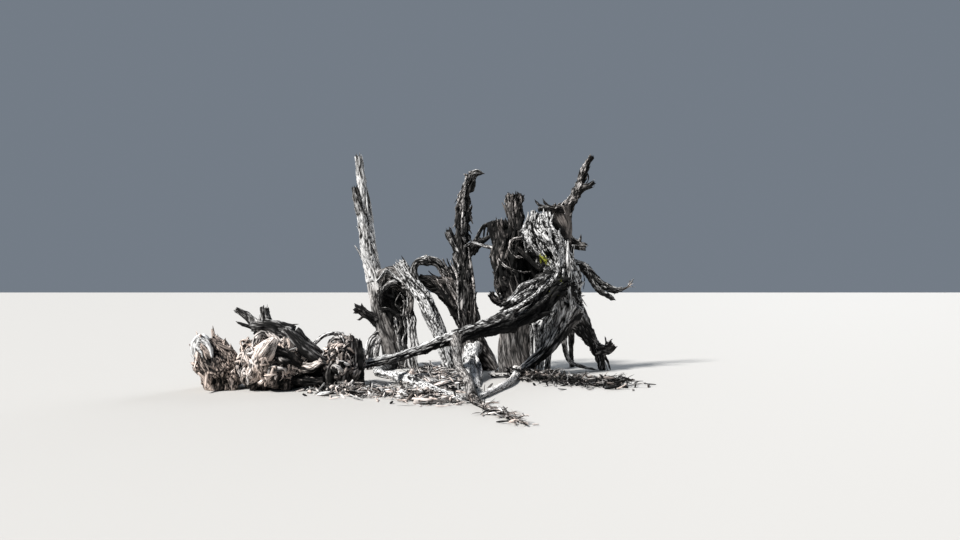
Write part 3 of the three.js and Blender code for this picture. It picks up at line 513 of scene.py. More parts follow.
          (-275, -1130, 1122)], [60, 80, 85, 80, 75, 60], dict(bleach=0.95, rough=0.7)),
        # The two dark strands along the limb's underside are painted shade.
        ([(760, -480, 1600), (420, -820, 1330), (40, -970, 1080), (-300, -1100, 930)], [90, 110, 110, 60],
         dict(bleach=0.25)),
        ([(700, -560, 1380), (400, -760, 1120), (40, -900, 940), (-300, -1020, 820)], [90, 110, 100, 60],
         dict(bleach=0.15)),
    ],
    "over_limb": [
        ([(700, -480, 1800), (520, -640, 1750), (284, -760, 1668), (48, -830, 1590), (-84, -860, 1434),
          (-235, -900, 1290)], [70, 60, 60, 55, 50, 40], dict(bleach=1.1, rough=0.7)),
        ([(250, -790, 1560), (60, -880, 1400), (-140, -930, 1290)], [60, 150, 100],
         dict(bleach=0.85, coarse=0.5)),
        ([(420, -700, 1640), (240, -800, 1480), (60, -870, 1290), (-120, -930, 1170)], [30, 50, 50, 20],
         dict(bleach=1.05)),
        ([(480, -690, 1560), (300, -820, 1380), (130, -880, 1220), (-60, -960, 1110)], [30, 46, 46, 20],
         dict(bleach=0.9)),
    ],
    "front_leg": [([(900, -330, 960), (640, -410, 600), (350, -490, 330), (40, -580, 100)], [80, 70, 60, 30],
                   dict(bleach=0.65))],
    "pale_foot": [([(-800, -560, 360), (-690, -1100, 190), (-660, -1500, 40)], [90, 80, 40])],
    "fallen_stump": [
        ([(-4960, -2300, 470), (-4975, -2330, 650), (-4890, -2350, 770), (-4800, -2360, 720)],
         [90, 145, 170, 125], STUMP_CAP),
        ([(-4860, -2400, 760), (-4770, -2420, 700), (-4700, -2430, 580), (-4690, -2430, 430)],
         [110, 80, 54, 20], STUMP_CAP),
        ([(-4930, -2390, 620), (-4850, -2430, 560), (-4830, -2430, 470)], [60, 50, 16],
         dict(bleach=1.2, warm=0.0, rough=0.4)),
        ([(-4960, -2250, 330), (-5040, -2260, 380), (-5090, -2270, 400)], [80, 50, 12]),
        ([(-4960, -2200, 240), (-5060, -2210, 310), (-5080, -2210, 330)], [70, 40, 12]),
        ([(-4440, -2330, 200), (-4410, -2370, 60), (-4400, -2380, -10)], [150, 140, 120],
         dict(bleach=0.85, splinter=0.02)),
        ([(-4560, -2400, 260), (-4550, -2440, 80), (-4550, -2450, -10)], [130, 130, 110], dict(bleach=0.3)),
        ([(-4480, -2180, 440), (-4500, -2190, 580), (-4500, -2190, 680)], [150, 100, 30]),
        ([(-4600, -2060, 560), (-4640, -2060, 680), (-4630, -2060, 760)], [150, 100, 30]),
    ],
    "fallen_log_tail": [
        ([(-3660, -2180, 830), (-3496, -2290, 740), (-3320, -2330, 588), (-3142, -2320, 462),
          (-2976, -2280, 360)],
         [170, 190, 185, 175, 120], dict(bleach=0.28, rough=0.6, stretch=8, clefts=0.8)),
    ],
    "wad_body": [
        ([(-3950, -2580, 440), (-3840, -2635, 590), (-3700, -2570, 780)], [130, 290, 110],
         dict(bleach=1.12, warm=0.6, rough=0.5, stretch=3, coarse=0.5, cracks=-0.1, clefts=0.5, ridges=0.4,
              streaks=0.3)),
        ([(-3760, -2560, 600), (-3560, -2480, 520), (-3380, -2380, 380)], [160, 170, 130],
         dict(bleach=0.4, warm=0.5)),
        ([(-3380, -2360, 330), (-3220, -2400, 340), (-3060, -2370, 440)], [150, 140, 100], dict(bleach=0.9)),
        ([(-3460, -2330, 160), (-3260, -2400, 130), (-3040, -2360, 120)], [150, 190, 140],
         dict(bleach=0.35, warm=0.5, rough=1.4, coarse=0.5, cracks=0.3)),
        ([(-3420, -2180, 300), (-3200, -2180, 250), (-3000, -2180, 260)], [170, 200, 150],
         dict(bleach=0.3, warm=0.5, rough=1.4, coarse=0.5, cracks=0.3)),
    ],
    "right_wad": [
        ([(-2620, -2120, -20), (-2600, -2120, 350), (-2620, -2120, 700)], [250, 240, 190],
         dict(splinter=0.05, bleach=0.3, warm=0.2)),
        ([(-2780, -2230, -20), (-2760, -2240, 320), (-2790, -2220, 640)], [240, 240, 160],
         dict(splinter=0.06, bleach=0.4, warm=0.2)),
        ([(-2960, -2250, -20), (-2970, -2260, 240), (-2930, -2230, 500)], [230, 220, 130],
         dict(splinter=0.05, bleach=0.3, warm=0.3)),
        ([(-2650, -1850, -20), (-2630, -1850, 330), (-2660, -1850, 640)], [240, 230, 170],
         dict(splinter=0.05, bleach=0.45, warm=0.2)),
        ([(-2970, -2330, 515), (-2800, -2330, 580), (-2655, -2300, 700)], [60, 50, 30], dict(bleach=0.3)),
        ([(-2780, -2200, 620), (-2700, -2190, 740), (-2660, -2180, 850)], [50, 36, 12], dict(bleach=0.8)),
        ([(-2640, -2110, 660), (-2660, -2110, 760), (-2700, -2110, 830)], [50, 36, 12], dict(bleach=0.3)),
    ],
}

# Hollows in a limb's side: the middle, how wide and how deep, in millimetres. Each hollow is also darkened as
# painted shade.
DENTS = {
    "main_trunk": [((300, -150, 2070), 260, 110), ((250, -220, 1750), 220, 80), ((-230, -60, 3000), 90, 50),
                   ((-230, 40, 1300), 160, 50)],
    "middle_snag": [((-860, 250, 3280), 90, 40), ((-1110, 260, 3420), 80, 30), ((-900, 180, 2700), 100, 50),
                    ((-1080, 200, 3000), 80, 40), ((-820, 250, 2300), 120, 50)],
    "crown_slab": [((260, -430, 2100), 130, 60), ((700, -470, 2250), 90, 40)],
    "right_leg": [((1380, 20, 640), 90, 50), ((1560, 150, 420), 70, 40)],
    "long_limb_root": [((350, -800, 1180), 130, 60), ((60, -1000, 1100), 110, 50),
                       ((600, -650, 1350), 120, 60)],
    "left_snag": [((-2985, 620, 2545), 55, 35)],
    "fallen_stump": [((-4720, -2540, 450), 110, 90), ((-4620, -2500, 640), 120, 90),
                     ((-4820, -2500, 260), 90, 60), ((-4560, -2520, 160), 90, 80)],
}

# Darker or paler places: the middle, how wide, and what bleach and warm gain.
# The first darkens a knot on the left snag and the last is a paler patch low on
# the root clump. The second is painted light on the hub below the slab, and the
# other dark places are painted shade: the web's black hole, the recesses under
# the slab and the long limb, inside the hood and the hollows round the root clumps.
PAINTED_SHADE_LIGHT_AND_STAINS = [
    ((-2985, 620, 2545), 60, -0.8, 0.1),
    ((960, -200, 1050), 250, 0.3, 0.15),
    ((750, -150, 2570), 110, -0.6, 0.0),
    ((330, -250, 2080), 330, -0.35, 0.1),
    ((680, -600, 1330), 330, -0.3, 0.0),
    ((330, -800, 1050), 300, -0.2, 0.0),
    ((-2250, 450, 1150), 330, -0.3, 0.2),
    ((-3640, -2500, 250), 300, -0.3, 0.2),
    ((-3150, -2100, 250), 260, -0.3, 0.0),
    ((-4130, -2500, 200), 260, 0.25, 0.1),
]

# Lichen: the middle, how wide and how thick.
LICHENS = [((430, -450, 2010), 120, 1.5), ((700, -560, 1650), 110, 0.8), ((560, -700, 1440), 120, 0.7)]


# Limbs that a limb is fused with, besides those that it grows from or carries.
NEIGHBOURS = {
    "crown_slab": ["right_column", "main_trunk"],
    "right_column": ["crown_slab", "main_trunk", "right_leg"],
    "main_trunk": ["crown_slab"],
    "slab_web": ["crown_slab", "right_column"],
    "hood_roof": ["hood_back", "hood_rim_left", "bleached_bough"],
    "hood_back": ["left_snag", "hood_roof"],
    "bleached_bough": ["hood_roof"],
    "bridge_limb": ["middle_snag"],
    "front_leg": ["right_leg", "right_column", "curtain_rib_2"],
    "right_leg": ["front_leg", "crown_slab"],
    "back_leg": ["right_leg"],
    "fallen_log": ["fallen_log_tail", "log_stub", "log_branch"],
    "fallen_log_tail": ["fallen_log"],
    "log_stub": ["fallen_log"],
    "log_branch": ["fallen_log"],
    "log_twig": ["fallen_log"],
}

# What each part of the relief adds to its height or takes off it, in metres, on
# a limb with the reference radius. Other limbs have more or less, within limits.
HEIGHTS = dict(
    lumps=0.028, broad=0.030, fine=0.018, hair=0.004, plate=0.016, crack=0.036, nick=0.016, cross=0.014)
SUNK = 0.016
ROPE_WIDTH = 0.085
REFERENCE_RADIUS = 0.14
SIZE_LIMITS = (0.32, 1.25)

# Limbs thinner than this, in metres, have narrower faces. The limits say how
# many columns of faces a limb may have round it.
THIN_RADIUS = 0.045
COLUMN_LIMITS = (10, 420)

# How far from a limb's line, in metres, the limbs fused with it still swell.
KIN_REACH = 0.6
# Sides that face this way, up and to the left towards the sun, get painted light: they are paler by tilt.
PAINTED_LIGHT_WAY = (-0.55, -0.15, 0.8)


def unit(way, tiny=0.0):
    """One direction, made one metre long."""
    return way / (np.linalg.norm(way) + tiny)


def unit_rows(ways, tiny=0.0):
    """Many directions, each made one metre long."""
    return ways / (np.linalg.norm(ways, axis=-1)[..., None] + tiny)


def near_zero(values, width):
    """1 where a value is zero, and less the further it is from that."""
    return np.exp(-((values / width) ** 2))


def nearness(points, centre, wide):
    """1 at the centre and less around it. Both lengths are in millimetres."""
    return np.exp(-((points - np.array(centre) * MM) ** 2).sum(-1) / (wide * MM) ** 2)


def noise_tables(seed):
    """A shuffled table of cells and a table of random directions."""
    random = np.random.default_rng(seed)
    cells = random.permutation(256)
    ways = unit_rows(random.normal(size=(256, 3)))
    return np.concatenate([cells, cells]), ways.astype(np.float32)


CELLS, WAYS = noise_tables(7)
NOISE_GAIN = 1.6
# How far each seed shifts the noise, in cells.
SEED_SHIFT = 17.31


def noise(p, seed=0):
    """Smooth noise from about -1 to 1 at each of the points p."""
    p = np.asarray(p, np.float32) + np.float32(seed * SEED_SHIFT)
    cell = np.floor(p)
    part = p - cell
    cell = cell.astype(np.int64) & 255
    ease = part * part * part * (part * (part * 6 - 15) + 10)
    total = np.zeros(p.shape[:-1], np.float32)
    for corner in range(8):
        step = np.array([corner & 1, corner >> 1 & 1, corner >> 2 & 1])
        k = cell + step
        index = CELLS[CELLS[CELLS[k[..., 0] & 255] + (k[..., 1] & 255)] + (k[..., 2] & 255)]
        towards = (WAYS[index] * (part - step.astype(np.float32))).sum(-1)
        weight = np.where(step, ease, 1 - ease).prod(-1)
        total += towards * weight
    return total * NOISE_GAIN


def noise_along(x, y, z, seed):
    """The noise at points given by their three coordinates."""
    return noise(np.stack([x, y, z], -1), seed)


def smooth(low, high, x):
    """0 below low, 1 above high and an even rise between."""
    t = np.clip((x - low) / (high - low), 0, 1)
    return t * t * (3 - 2 * t)


def curve_points(points, t):
    """The Catmull-Rom curve through points, at t from 0 to 1."""
    points = np.asarray(points, float)
    ends = np.vstack([2 * points[0] - points[1], points, 2 * points[-1] - points[-2]])
    span = len(points) - 1
    k = np.minimum((t * span).astype(int), span - 1)
    w = (t * span - k)[:, None]
    a, b, c, d = ends[k], ends[k + 1], ends[k + 2], ends[k + 3]
    return 0.5 * (2 * b + (c - a) * w + (2 * a - 5 * b + 4 * c - d) * w**2 + (3 * b - a - 3 * c + d) * w**3)


def seed_of(name):
    """The source's seed for a name."""
    seed = 0
    for letter in name:
        seed = (seed * 31 + ord(letter)) % 997
    return seed


def full_line(name):
    """The points of a limb's line, from the place on its parent where it starts."""
    limb = LIMBS[name]
    points = [tuple(p) for p in limb["through"]]
    if "grows" in limb:
        parent, share = limb["grows"]
        points.insert(0, tuple(curve_points(full_line(parent), np.array([share]))[0]))
    return points


class Line:
    """A limb's line at even steps, with its section's axes and thickness."""

    def __init__(self, points, across, face=TOWARDS_FRONT, flat=1.0, step=ALONG, wander_seed=None):
        fine = np.linspace(0, 1, 600)
        path = curve_points(points, fine) * MM
        self.across_step = AROUND * step / ALONG
        run = np.concatenate([[0], np.cumsum(np.linalg.norm(np.diff(path, axis=0), axis=1))])
        self.length = run[-1]
        self.rows = max(int(self.length / step), 10)
        self.s = np.linspace(0, self.length, self.rows + 1)
        self.t = np.interp(self.s, run, fine)
        self.middle = curve_points(points, self.t) * MM
        across = np.asarray(across, float) * MM
        radius = np.interp(self.t, np.linspace(0, 1, len(across)), across) / 2
        kernel = np.hanning(2 * min(12, self.rows // 3) + 1)
        padded = np.pad(radius, len(kernel) // 2, mode="edge")
        self.radius = np.convolve(padded, kernel / kernel.sum(), mode="valid")
        self.flat = flat
        self.along = unit_rows(np.gradient(self.middle, axis=0))
        face = np.asarray(face, float)
        self.through = unit_rows(face - self.along * (self.along @ face)[:, None])
        self.across = np.cross(self.through, self.along)
        if wander_seed is not None:
            self.wander(wander_seed)

    def wander(self, seed):
        """Sways the line by the source's rule."""
        loose = (WANDER * self.radius * np.sin(np.pi * self.t))[:, None]
        run = self.t * self.length
        self.middle = (
            self.middle
            + self.across * loose * np.sin(4.1 * run + seed)[:, None]
            + self.through * loose * np.sin(3.3 * run + 2 * seed)[:, None]
        )

    def from_share(self, share):
        """The same line without its first part."""
        first = int(share * self.rows)
        rest = copy.copy(self)
        for key in ("s", "t", "middle", "radius", "along", "across", "through"):
            setattr(rest, key, getattr(self, key)[first:])
        return rest

    def gap(self, points, batch=20000):
        """How far each point is outside this limb's surface, roughly."""
        every = self.middle[::2]
        best = np.full(len(points), 1e9)
        where = np.zeros(len(points), int)
        for k in range(0, len(points), batch):
            part = points[k:k + batch]
            square = (part**2).sum(1)[:, None] - 2 * part @ every.T + (every**2).sum(1)[None]
            where[k:k + batch] = square.argmin(1)
            best[k:k + batch] = square.min(1)
        row = where * 2
        off = points - self.middle[row]
        sideways = (off * self.across[row]).sum(1)
        deep = (off * self.through[row]).sum(1) / self.flat
        ahead = (off * self.along[row]).sum(1)
        reach = np.sqrt(sideways**2 + deep**2 + ahead**2) + 1e-9
        outside = reach - self.radius[row]
        return outside * np.clip(np.sqrt(np.maximum(best, 0)) / reach, self.flat, 1)


def limb_line(name):
    """The line of one of the source's limbs."""
    limb = LIMBS[name]
    step = ALONG * LOOKS.get(name, {}).get("mesh", 1.0)
    return Line(full_line(name), limb["across"], face=limb.get("face", TOWARDS_FRONT),
                flat=limb.get("flat", 1.0), step=step, wander_seed=seed_of(name))


LINES = {name: limb_line(name) for name in LIMBS}


def parent_of(name):
    """The limb that this one grows from, if any."""
    return LIMBS[name].get("grows", (None,))[0]


def kin_of(name):
    """The limbs that this one is fused with."""
    if name not in LIMBS:
        return []
    parent = parent_of(name)
    kin = set(NEIGHBOURS.get(name, []))
    for other in LIMBS:
        if parent_of(other) == name or (parent and parent_of(other) == parent and other != name):
            kin.add(other)
    if parent:
        kin.add(parent)
    return sorted(kin)


def along_limb(value, share):
    """A look's value at each share of a limb's length, from one number or a row of them."""
    row = np.atleast_1d(np.asarray(value, float))
    return np.interp(share, np.linspace(0, 1, len(row)), row) if len(row) > 1 else row[0]


def relief(seed, grain, s, share, size, look):
    """The relief's height in metres, how far down a crack each point is, which is painted as shade, and how
    pale its ridge, a painted highlight on ridge tops and painted shade in grooves.
    """
    x, y = grain[..., 0], grain[..., 1]
    rope = ROPE_WIDTH * size * look["coarse"]
    slow_sway = 0.4 * noise_along(x * 5, y * 5, s * 2.3, seed + 20)
    sway = slow_sway + 0.15 * noise_along(x * 13, y * 13, s * 6, seed + 21)

    def ropes(width, stretch, layer):
        width = rope * width
        return noise_along(x / width + sway, y / width - sway, s / (width * stretch), seed + layer)

    # Each layer of the relief: its ropes' width and length, and its seed.
    stretch = look["stretch"]
    lumps = ropes(2.8, 2.0, 0)
    broad = ropes(1.0, stretch, 1)
    fine = ropes(0.46, stretch * 0.7, 2)
    hair = ropes(0.2, 3.0, 3)
    split = ropes(1.2, stretch * 2, 4)
    where_split = smooth(-0.2, 0.3, ropes(4.0, 3.0, 5) + look["cracks"])
    step = ropes(1.1, 2.4, 6)
    check = ropes(0.9, 0.7, 7)
    nick = ropes(0.62, stretch * 1.4, 9)
    where_nicked = smooth(-0.1, 0.25, ropes(2.2, 2.6, 10) + look["cracks"])
    where_checked = smooth(-0.02, 0.12, ropes(0.8, 0.8, 8))

    ridges = look["ridges"]
    crack = near_zero(split, look["gash"]) * where_split
    nicks = near_zero(nick, 0.12) * where_nicked
    cross = near_zero(check, 0.15) * where_checked * along_limb(look["checks"], share)
    plate = smooth(0.05, 0.12, step) + 0.8 * smooth(0.28, 0.34, step)
    plates = along_limb(look["plates"], share)
    high = along_limb(look["rough"], share) * size * (
        HEIGHTS["lumps"] * lumps + HEIGHTS["broad"] * ridges * np.abs(broad) ** 0.75
        + HEIGHTS["fine"] * np.abs(fine) ** 0.8 + HEIGHTS["hair"] * hair - HEIGHTS["crack"] * crack
        - HEIGHTS["nick"] * nicks - HEIGHTS["cross"] * cross + HEIGHTS["plate"] * plates * plate - SUNK
    )
    # Painted shade: deep darkens cracks, nicks, checks, plate edges and the grooves between ropes. pale
    # lightens the ridge tops as a painted highlight and darkens the grooves as painted shade.
    between_ropes = 0.7 * ridges * near_zero(broad, 0.08)
    deep = 1.2 * crack + between_ropes + 0.4 * near_zero(fine, 0.08) + nicks + 1.2 * cross
    deep = deep + 0.6 * plates * near_zero(step - 0.085, 0.05)
    clefts = along_limb(look["clefts"], share)
    pale = clefts * (0.65 * ridges * (np.abs(broad) ** 0.75 - 0.4) + 0.4 * (np.abs(fine) ** 0.8 - 0.36))
    return high, np.clip(deep * clefts, 0, 1), pale


def fused(name, points, middling):
    """How far each point swells out, in metres, where the limb is fused with its kin."""
    bulge = np.zeros(points.shape[:-1])
    flat_bulge = bulge.reshape(-1)
    flat_points = points.reshape(-1, 3)
    for other in kin_of(name):
        kin = LINES[other]
        low, high = kin.middle.min(0) - KIN_REACH, kin.middle.max(0) + KIN_REACH
        close = np.nonzero(((flat_points > low) & (flat_points < high)).all(1))[0]
        if not len(close):
            continue
        # The swelling is as wide as the thinner limb.
        width = 1.3 * min(middling, float(np.median(kin.radius)))
        gap = kin.gap(flat_points[close])
        lift = np.clip(1 - gap / width, 0, 1) ** 2 * width / 3.5
        lift[gap < -0.35 * width] *= 0.4
        flat_bulge[close] = np.maximum(flat_bulge[close], lift)
    return bulge


def broken_end(line, angle, s, splinter, seed):
    """How far the broken end's teeth reach past each point, in metres."""
    x, y = np.cos(angle)[None], np.sin(angle)[None]
    teeth = np.abs(noise_along(x * 4 + 0 * s, y * 4 + 0 * s, 0 * s, seed + 11))
    sharp = np.abs(noise_along(x * 11 + 0 * s, y * 11 + 0 * s, 0 * s, seed + 12))
    near_end = smooth(line.length - 3.0 * splinter - 0.05, line.length, s)
    return splinter * (1.5 * teeth + 1.1 * sharp - 0.35) * near_end


def limb_surface(name, line, look, point=False, splinter=0.0, flares=False):
    """The points of one limb's surface, with what its material reads."""
    seed = seed_of(name)
    widest = line.radius.max()
    face_width = line.across_step * (0.7 if widest < THIN_RADIUS else 1)
    columns = int(np.clip(2 * math.pi * widest / face_width, *COLUMN_LIMITS))
    angle = np.linspace(0, 2 * math.pi, columns, endpoint=False)
    s = line.s[:, None] + 0 * angle[None]
    share = s / line.length
    radius = line.radius[:, None]
    middling = float(np.median(line.radius))
    size = float(np.clip(middling / REFERENCE_RADIUS, *SIZE_LIMITS))

    turns = np.cumsum(along_limb(look["twist"], line.s / line.length) * np.gradient(line.s))
    turned = angle[None] + turns[:, None] + 0.5 * np.sin(1.7 * s + seed)
    grain = np.stack([middling * np.cos(turned), middling * np.sin(turned)], -1)
    swell = (
        GNARL[0] * np.sin(2 * angle[None] + 1.9 * s + seed)
        + GNARL[1] * np.sin(3 * angle[None] - 2.6 * s + 1.7 * seed)
        + GNARL[2] * np.sin(5 * angle[None] + 3.3 * s + 2.3 * seed)
    )
    reach = radius * (1 + swell) * along_limb(look["slim"], share)
    if flares:
        near = np.minimum(radius, 0.1)
        reach = reach + 0.35 * near * np.exp(-s / (1.1 * near))
    high, deep, pale = relief(seed, grain, s, share, size, look)
    high = high * np.clip(radius / (0.45 * middling + 1e-6), 0, 1)
    if point:
        taper = smooth(0, 1, (line.length - s) / (2.2 * line.radius[-1] + 0.02))
        reach, high = reach * (0.15 + 0.85 * taper), high * taper

    flat = line.flat
    x, y = np.cos(angle)[None, :, None], np.sin(angle)[None, :, None]
    a, b = line.across[:, None], line.through[:, None]
    out = unit_rows(a * x * flat + b * y)
    bare = line.middle[:, None] + reach[..., None] * (a * x + b * y * flat)
    points = bare + out * (high + fused(name, bare, middling))[..., None]
    for centre, wide, depth in DENTS.get(name, ()):
        near = nearness(points, centre, wide)
        points = points - out * (near * depth * MM)[..., None]
        # The hollow is darkened as painted shade.
        deep = np.clip(deep + 0.5 * near, 0, 1)
    if splinter:
        points = points + line.along[:, None] * broken_end(line, angle, s, splinter, seed)[..., None]

    # tilt paints light on the sides that face up and left, towards the sun; back makes far sides paler.
    facing_painted_light = (out * np.array(PAINTED_LIGHT_WAY)).sum(-1)
    behind = smooth(0.1, 0.7, out[..., 1])
    coords = np.stack([grain[..., 0], grain[..., 1], s], -1)
    return points, coords, deep, look["tilt"] * facing_painted_light + look["back"] * behind + pale


def cut_at_ground(fields, points):
    """Slides each column's rows along it, so that it ends at ground level."""
    z = points[..., 2]
    rows = z.shape[0]
    above = z > 0
    first = np.where(above[0], 0.0, above.argmax(0).astype(float))
    last = np.where(above[-1], rows - 1.0, rows - 1.0 - above[::-1].argmax(0))
    for k in np.nonzero(~above[0])[0]:
        i = int(first[k])
        if i:
            first[k] = i - 1 + z[i - 1, k] / (z[i - 1, k] - z[i, k])
    for k in np.nonzero(~above[-1])[0]:
        i = int(last[k])
        if i + 1 < rows:
            last[k] = i + z[i, k] / (z[i, k] - z[i + 1, k])
    at = first[None] + (last - first)[None] * np.linspace(0, 1, rows)[:, None]
    low = np.clip(np.floor(at).astype(int), 0, rows - 2)
    part = at - low
    columns = np.arange(z.shape[1])[None]
    return [
        f[low, columns] * (1 - part.reshape(part.shape + (1,) * (f.ndim - 2)))
        + f[low + 1, columns] * part.reshape(part.shape + (1,) * (f.ndim - 2))
        for f in fields
    ]


# The rings that close a limb's end, as shares of the end's width.
TORN_RINGS = (0.93, 0.86, 0.8, 0.6, 0.3)
ROUND_RINGS = (0.9, 0.65, 0.35)


def close_up(points, coords, deep, pale, along, cup, torn):
    """Adds the rings that close a limb's far end: a dome, or a hollow where it is torn."""
    end = points[-1]
    middle = end.mean(0)
    level = (end - middle) @ along
    extra = []
    for k, share in enumerate(TORN_RINGS if torn else ROUND_RINGS):
        inner = middle + (end - middle - level[:, None] * along) * share
        if torn:
            height = level * (0.8 - 0.16 * k) - cup * smooth(0, 4, np.float64(k)) - 0.004 * k
        else:
            height = level * share
        extra.append(inner + height[:, None] * along)
    rings = np.concatenate([points] + [ring[None] for ring in extra])
    count = len(extra)
    coords = np.concatenate([coords, np.repeat(coords[-1:], count, 0) * np.array([0.8, 0.8, 1.0])])
    # The end's rings are darkened: painted shade in a torn end's hollow, less on a round end.
    deep = np.concatenate([deep, np.full((count,) + deep.shape[1:], 0.75 if torn else 0.3)])
    pale = np.concatenate([pale, np.repeat(pale[-1:], count, 0)])
    return rings, coords, deep, pale


def grid_faces(rows, columns):
    """Quads of a closed sleeve of rows by columns, then a fan at each end."""
    k = np.arange(rows - 1)[:, None] * columns
    i = np.arange(columns)
    n = (i + 1) % columns
    quads = np.stack([k + i, k + n, k + columns + n, k + columns + i], -1).reshape(-1, 4)
    first, tip = rows * columns, rows * columns + 1
    top = (rows - 1) * columns
    fans = np.concatenate([
        np.stack([n, i, np.full(columns, first)], -1),
        np.stack([top + i, top + n, np.full(columns, tip)], -1),
    ])
    return quads, fans


def with_ends(values, start=None, tip=None):
    """The values of a sleeve's points in one row, then those of its two ends."""
    flat = values.reshape(-1, values.shape[-1])
    start = values[:1, 0] if start is None else start[None]
    tip = values[-1:, 0] if tip is None else tip[None]
    return np.concatenate([flat, start, tip])


def write_values(mesh, name, kind, values):
    """Gives each point of the mesh what its material reads."""
    data = mesh.attributes.new(name, kind, "POINT").data
    data.foreach_set("value" if kind == "FLOAT" else "vector", values.astype(np.float32).ravel())


class Parts:
    """Surfaces gathered into one mesh. A point's shade is bleach, warm and how deep in a crack it is; the
    depth darkens it as painted shade, and bleach also carries painted light and shade.
    """

    def __init__(self):
        self.points, self.coords, self.shade, self.quads, self.fans, self.streaks = [], [], [], [], [], []
        self.count = 0

    def add(self, points, coords, shade, quads, fans, streaks=1.0):
        """Adds one surface: its points, what its material reads and its faces."""
        self.points.append(points)
        self.coords.append(coords)
        self.shade.append(shade)
        self.quads.append(quads + self.count)
        self.fans.append(fans + self.count)
        self.streaks.append(np.zeros(len(points)) + streaks)
        self.count += len(points)

    def mesh(self, name):
        """All the surfaces as one mesh, with nothing below the ground."""
        points = np.concatenate(self.points).astype(np.float32)
        points[:, 2] = np.maximum(points[:, 2], 0.0)
        quads, fans = np.concatenate(self.quads), np.concatenate(self.fans)
        corners = np.concatenate([quads.ravel(), fans.ravel()]).astype(np.int32)
        starts = np.concatenate([np.arange(len(quads)) * 4, len(quads) * 4 + np.arange(len(fans)) * 3])
        mesh = bpy.data.meshes.new(name)
        mesh.vertices.add(len(points))
        mesh.vertices.foreach_set("co", points.ravel())
        mesh.loops.add(len(corners))
        mesh.loops.foreach_set("vertex_index", corners)
        mesh.polygons.add(len(starts))
        mesh.polygons.foreach_set("loop_start", starts.astype(np.int32))
        mesh.update(calc_edges=True)
        mesh.polygons.foreach_set("use_smooth", np.ones(len(starts), bool))
        shade = np.concatenate(self.shade).astype(np.float32)
        # Mostly painted shade in recesses and hollows, one spot of painted light, and a few marks of the wood
        # itself.
        for centre, wide, bleach, warm in PAINTED_SHADE_LIGHT_AND_STAINS:
            near = nearness(points, centre, wide)
            shade[:, 0] += bleach * near
            shade[:, 1] += warm * near
        lichen = np.zeros(len(points), np.float32)
        for centre, wide, thick in LICHENS:
            lichen += thick * nearness(points, centre, wide)
        write_values(mesh, "grain", "FLOAT_VECTOR", np.concatenate(self.coords))
        write_values(mesh, "shade", "FLOAT_VECTOR", shade)
        write_values(mesh, "streaks", "FLOAT", np.concatenate(self.streaks))
        write_values(mesh, "lichen", "FLOAT", lichen)
        return mesh


def meets_ground(line, row, steepness):
    """Whether a limb's end goes down to the ground."""
    return abs(line.along[row][2]) > steepness and line.middle[row][2] < 0.1


def add_limb(parts, name, line, look, point=False, splinter=0.0, flares=False, offset=0.0):
    """Adds a limb to parts and returns its outer points."""
    points, coords, deep, pale = limb_surface(name, line, look, point, splinter, flares)
    coords = coords + np.array([0, 0, offset])
    if meets_ground(line, 0, 0.35) or meets_ground(line, -1, 0.25):
        points, coords, deep, pale = cut_at_ground([points, coords, deep, pale], points)
    cup = look["cup"] if splinter else 0.0
    rings, coords, deep, pale = close_up(points, coords, deep, pale, line.along[-1], cup, splinter > 0)
    rows, columns = rings.shape[:2]
    quads, fans = grid_faces(rows, columns)
    height = rings[..., 2]
    share = (np.minimum(np.arange(rows), len(points) - 1) / (len(points) - 1))[:, None]
    # bleach carries painted light and shade: paler ridge tops and sides towards the sun, darker grooves.
    # Near the ground the wood is a little darker and browner.
    bleach = along_limb(look["bleach"], share) + pale - 0.05 * np.exp(-height / 0.4)
    warm = along_limb(look["warm"], share) + 0.12 * np.exp(-height / 0.6) - 0.3 * pale
    streaks = np.broadcast_to(along_limb(look["streaks"], share), rings.shape[:2])[..., None]
    shade = np.stack([bleach, warm, deep], -1)
    parts.add(with_ends(rings, points[0].mean(0), rings[-1].mean(0)), with_ends(coords),
              with_ends(shade, tip=shade[-1, -1]), quads, fans, with_ends(streaks)[:, 0])
    return points


def add_sliver(parts, root, way, out, length, thick, lift, shade, sides, steps, bend=(0, 0, 0), torn=0.06):
    """Adds a thin splinter along way, which rises by lift and bows by bend.

    torn is how wide its far end stays, as a share of its thickness.
    """
    t = np.linspace(0, 1, steps + 1)
    straight = root + np.outer(t, way) * length
    middle = straight + np.outer(t**2, out) * lift + np.outer(np.sin(t * math.pi), bend)
    along = unit_rows(np.gradient(middle, axis=0))
    side = unit_rows(np.cross(along, out), 1e-9)
    up = np.cross(side, along)
    spindle = np.sin(np.clip(t * 0.93 + 0.07, 0, 1) * math.pi) ** 0.6 + 0.06
    width = thick / 2 * np.maximum(spindle, np.where(t > 0.5, torn, 0.0))
    angle = np.linspace(0, 2 * math.pi, sides, endpoint=False)
    ring = (
        middle[:, None]
        + side[:, None] * (np.cos(angle)[None, :] * width[:, None])[..., None]
        + up[:, None] * (np.sin(angle)[None, :] * width[:, None])[..., None] * 0.55
    )
    # Each splinter reads a stretch of the grain of its own, by where its root is.
    own = root * 7
    coords = np.stack([
        0.02 * np.cos(angle)[None] + own[0] + 0 * t[:, None],
        0.02 * np.sin(angle)[None] + own[1] + 0 * t[:, None],
        (t * length)[:, None] + own[2] + 0 * angle[None]], -1)
    quads, fans = grid_faces(len(t), sides)
    points = with_ends(ring, middle[0], middle[-1])
    shades = np.repeat(np.asarray(shade, float)[None], len(points), 0)
    parts.add(points, with_ends(coords), shades, quads, fans)


def mean_of(look, key):
    """A look's value, or the mean of its row of values."""
    return float(np.mean(look[key]))


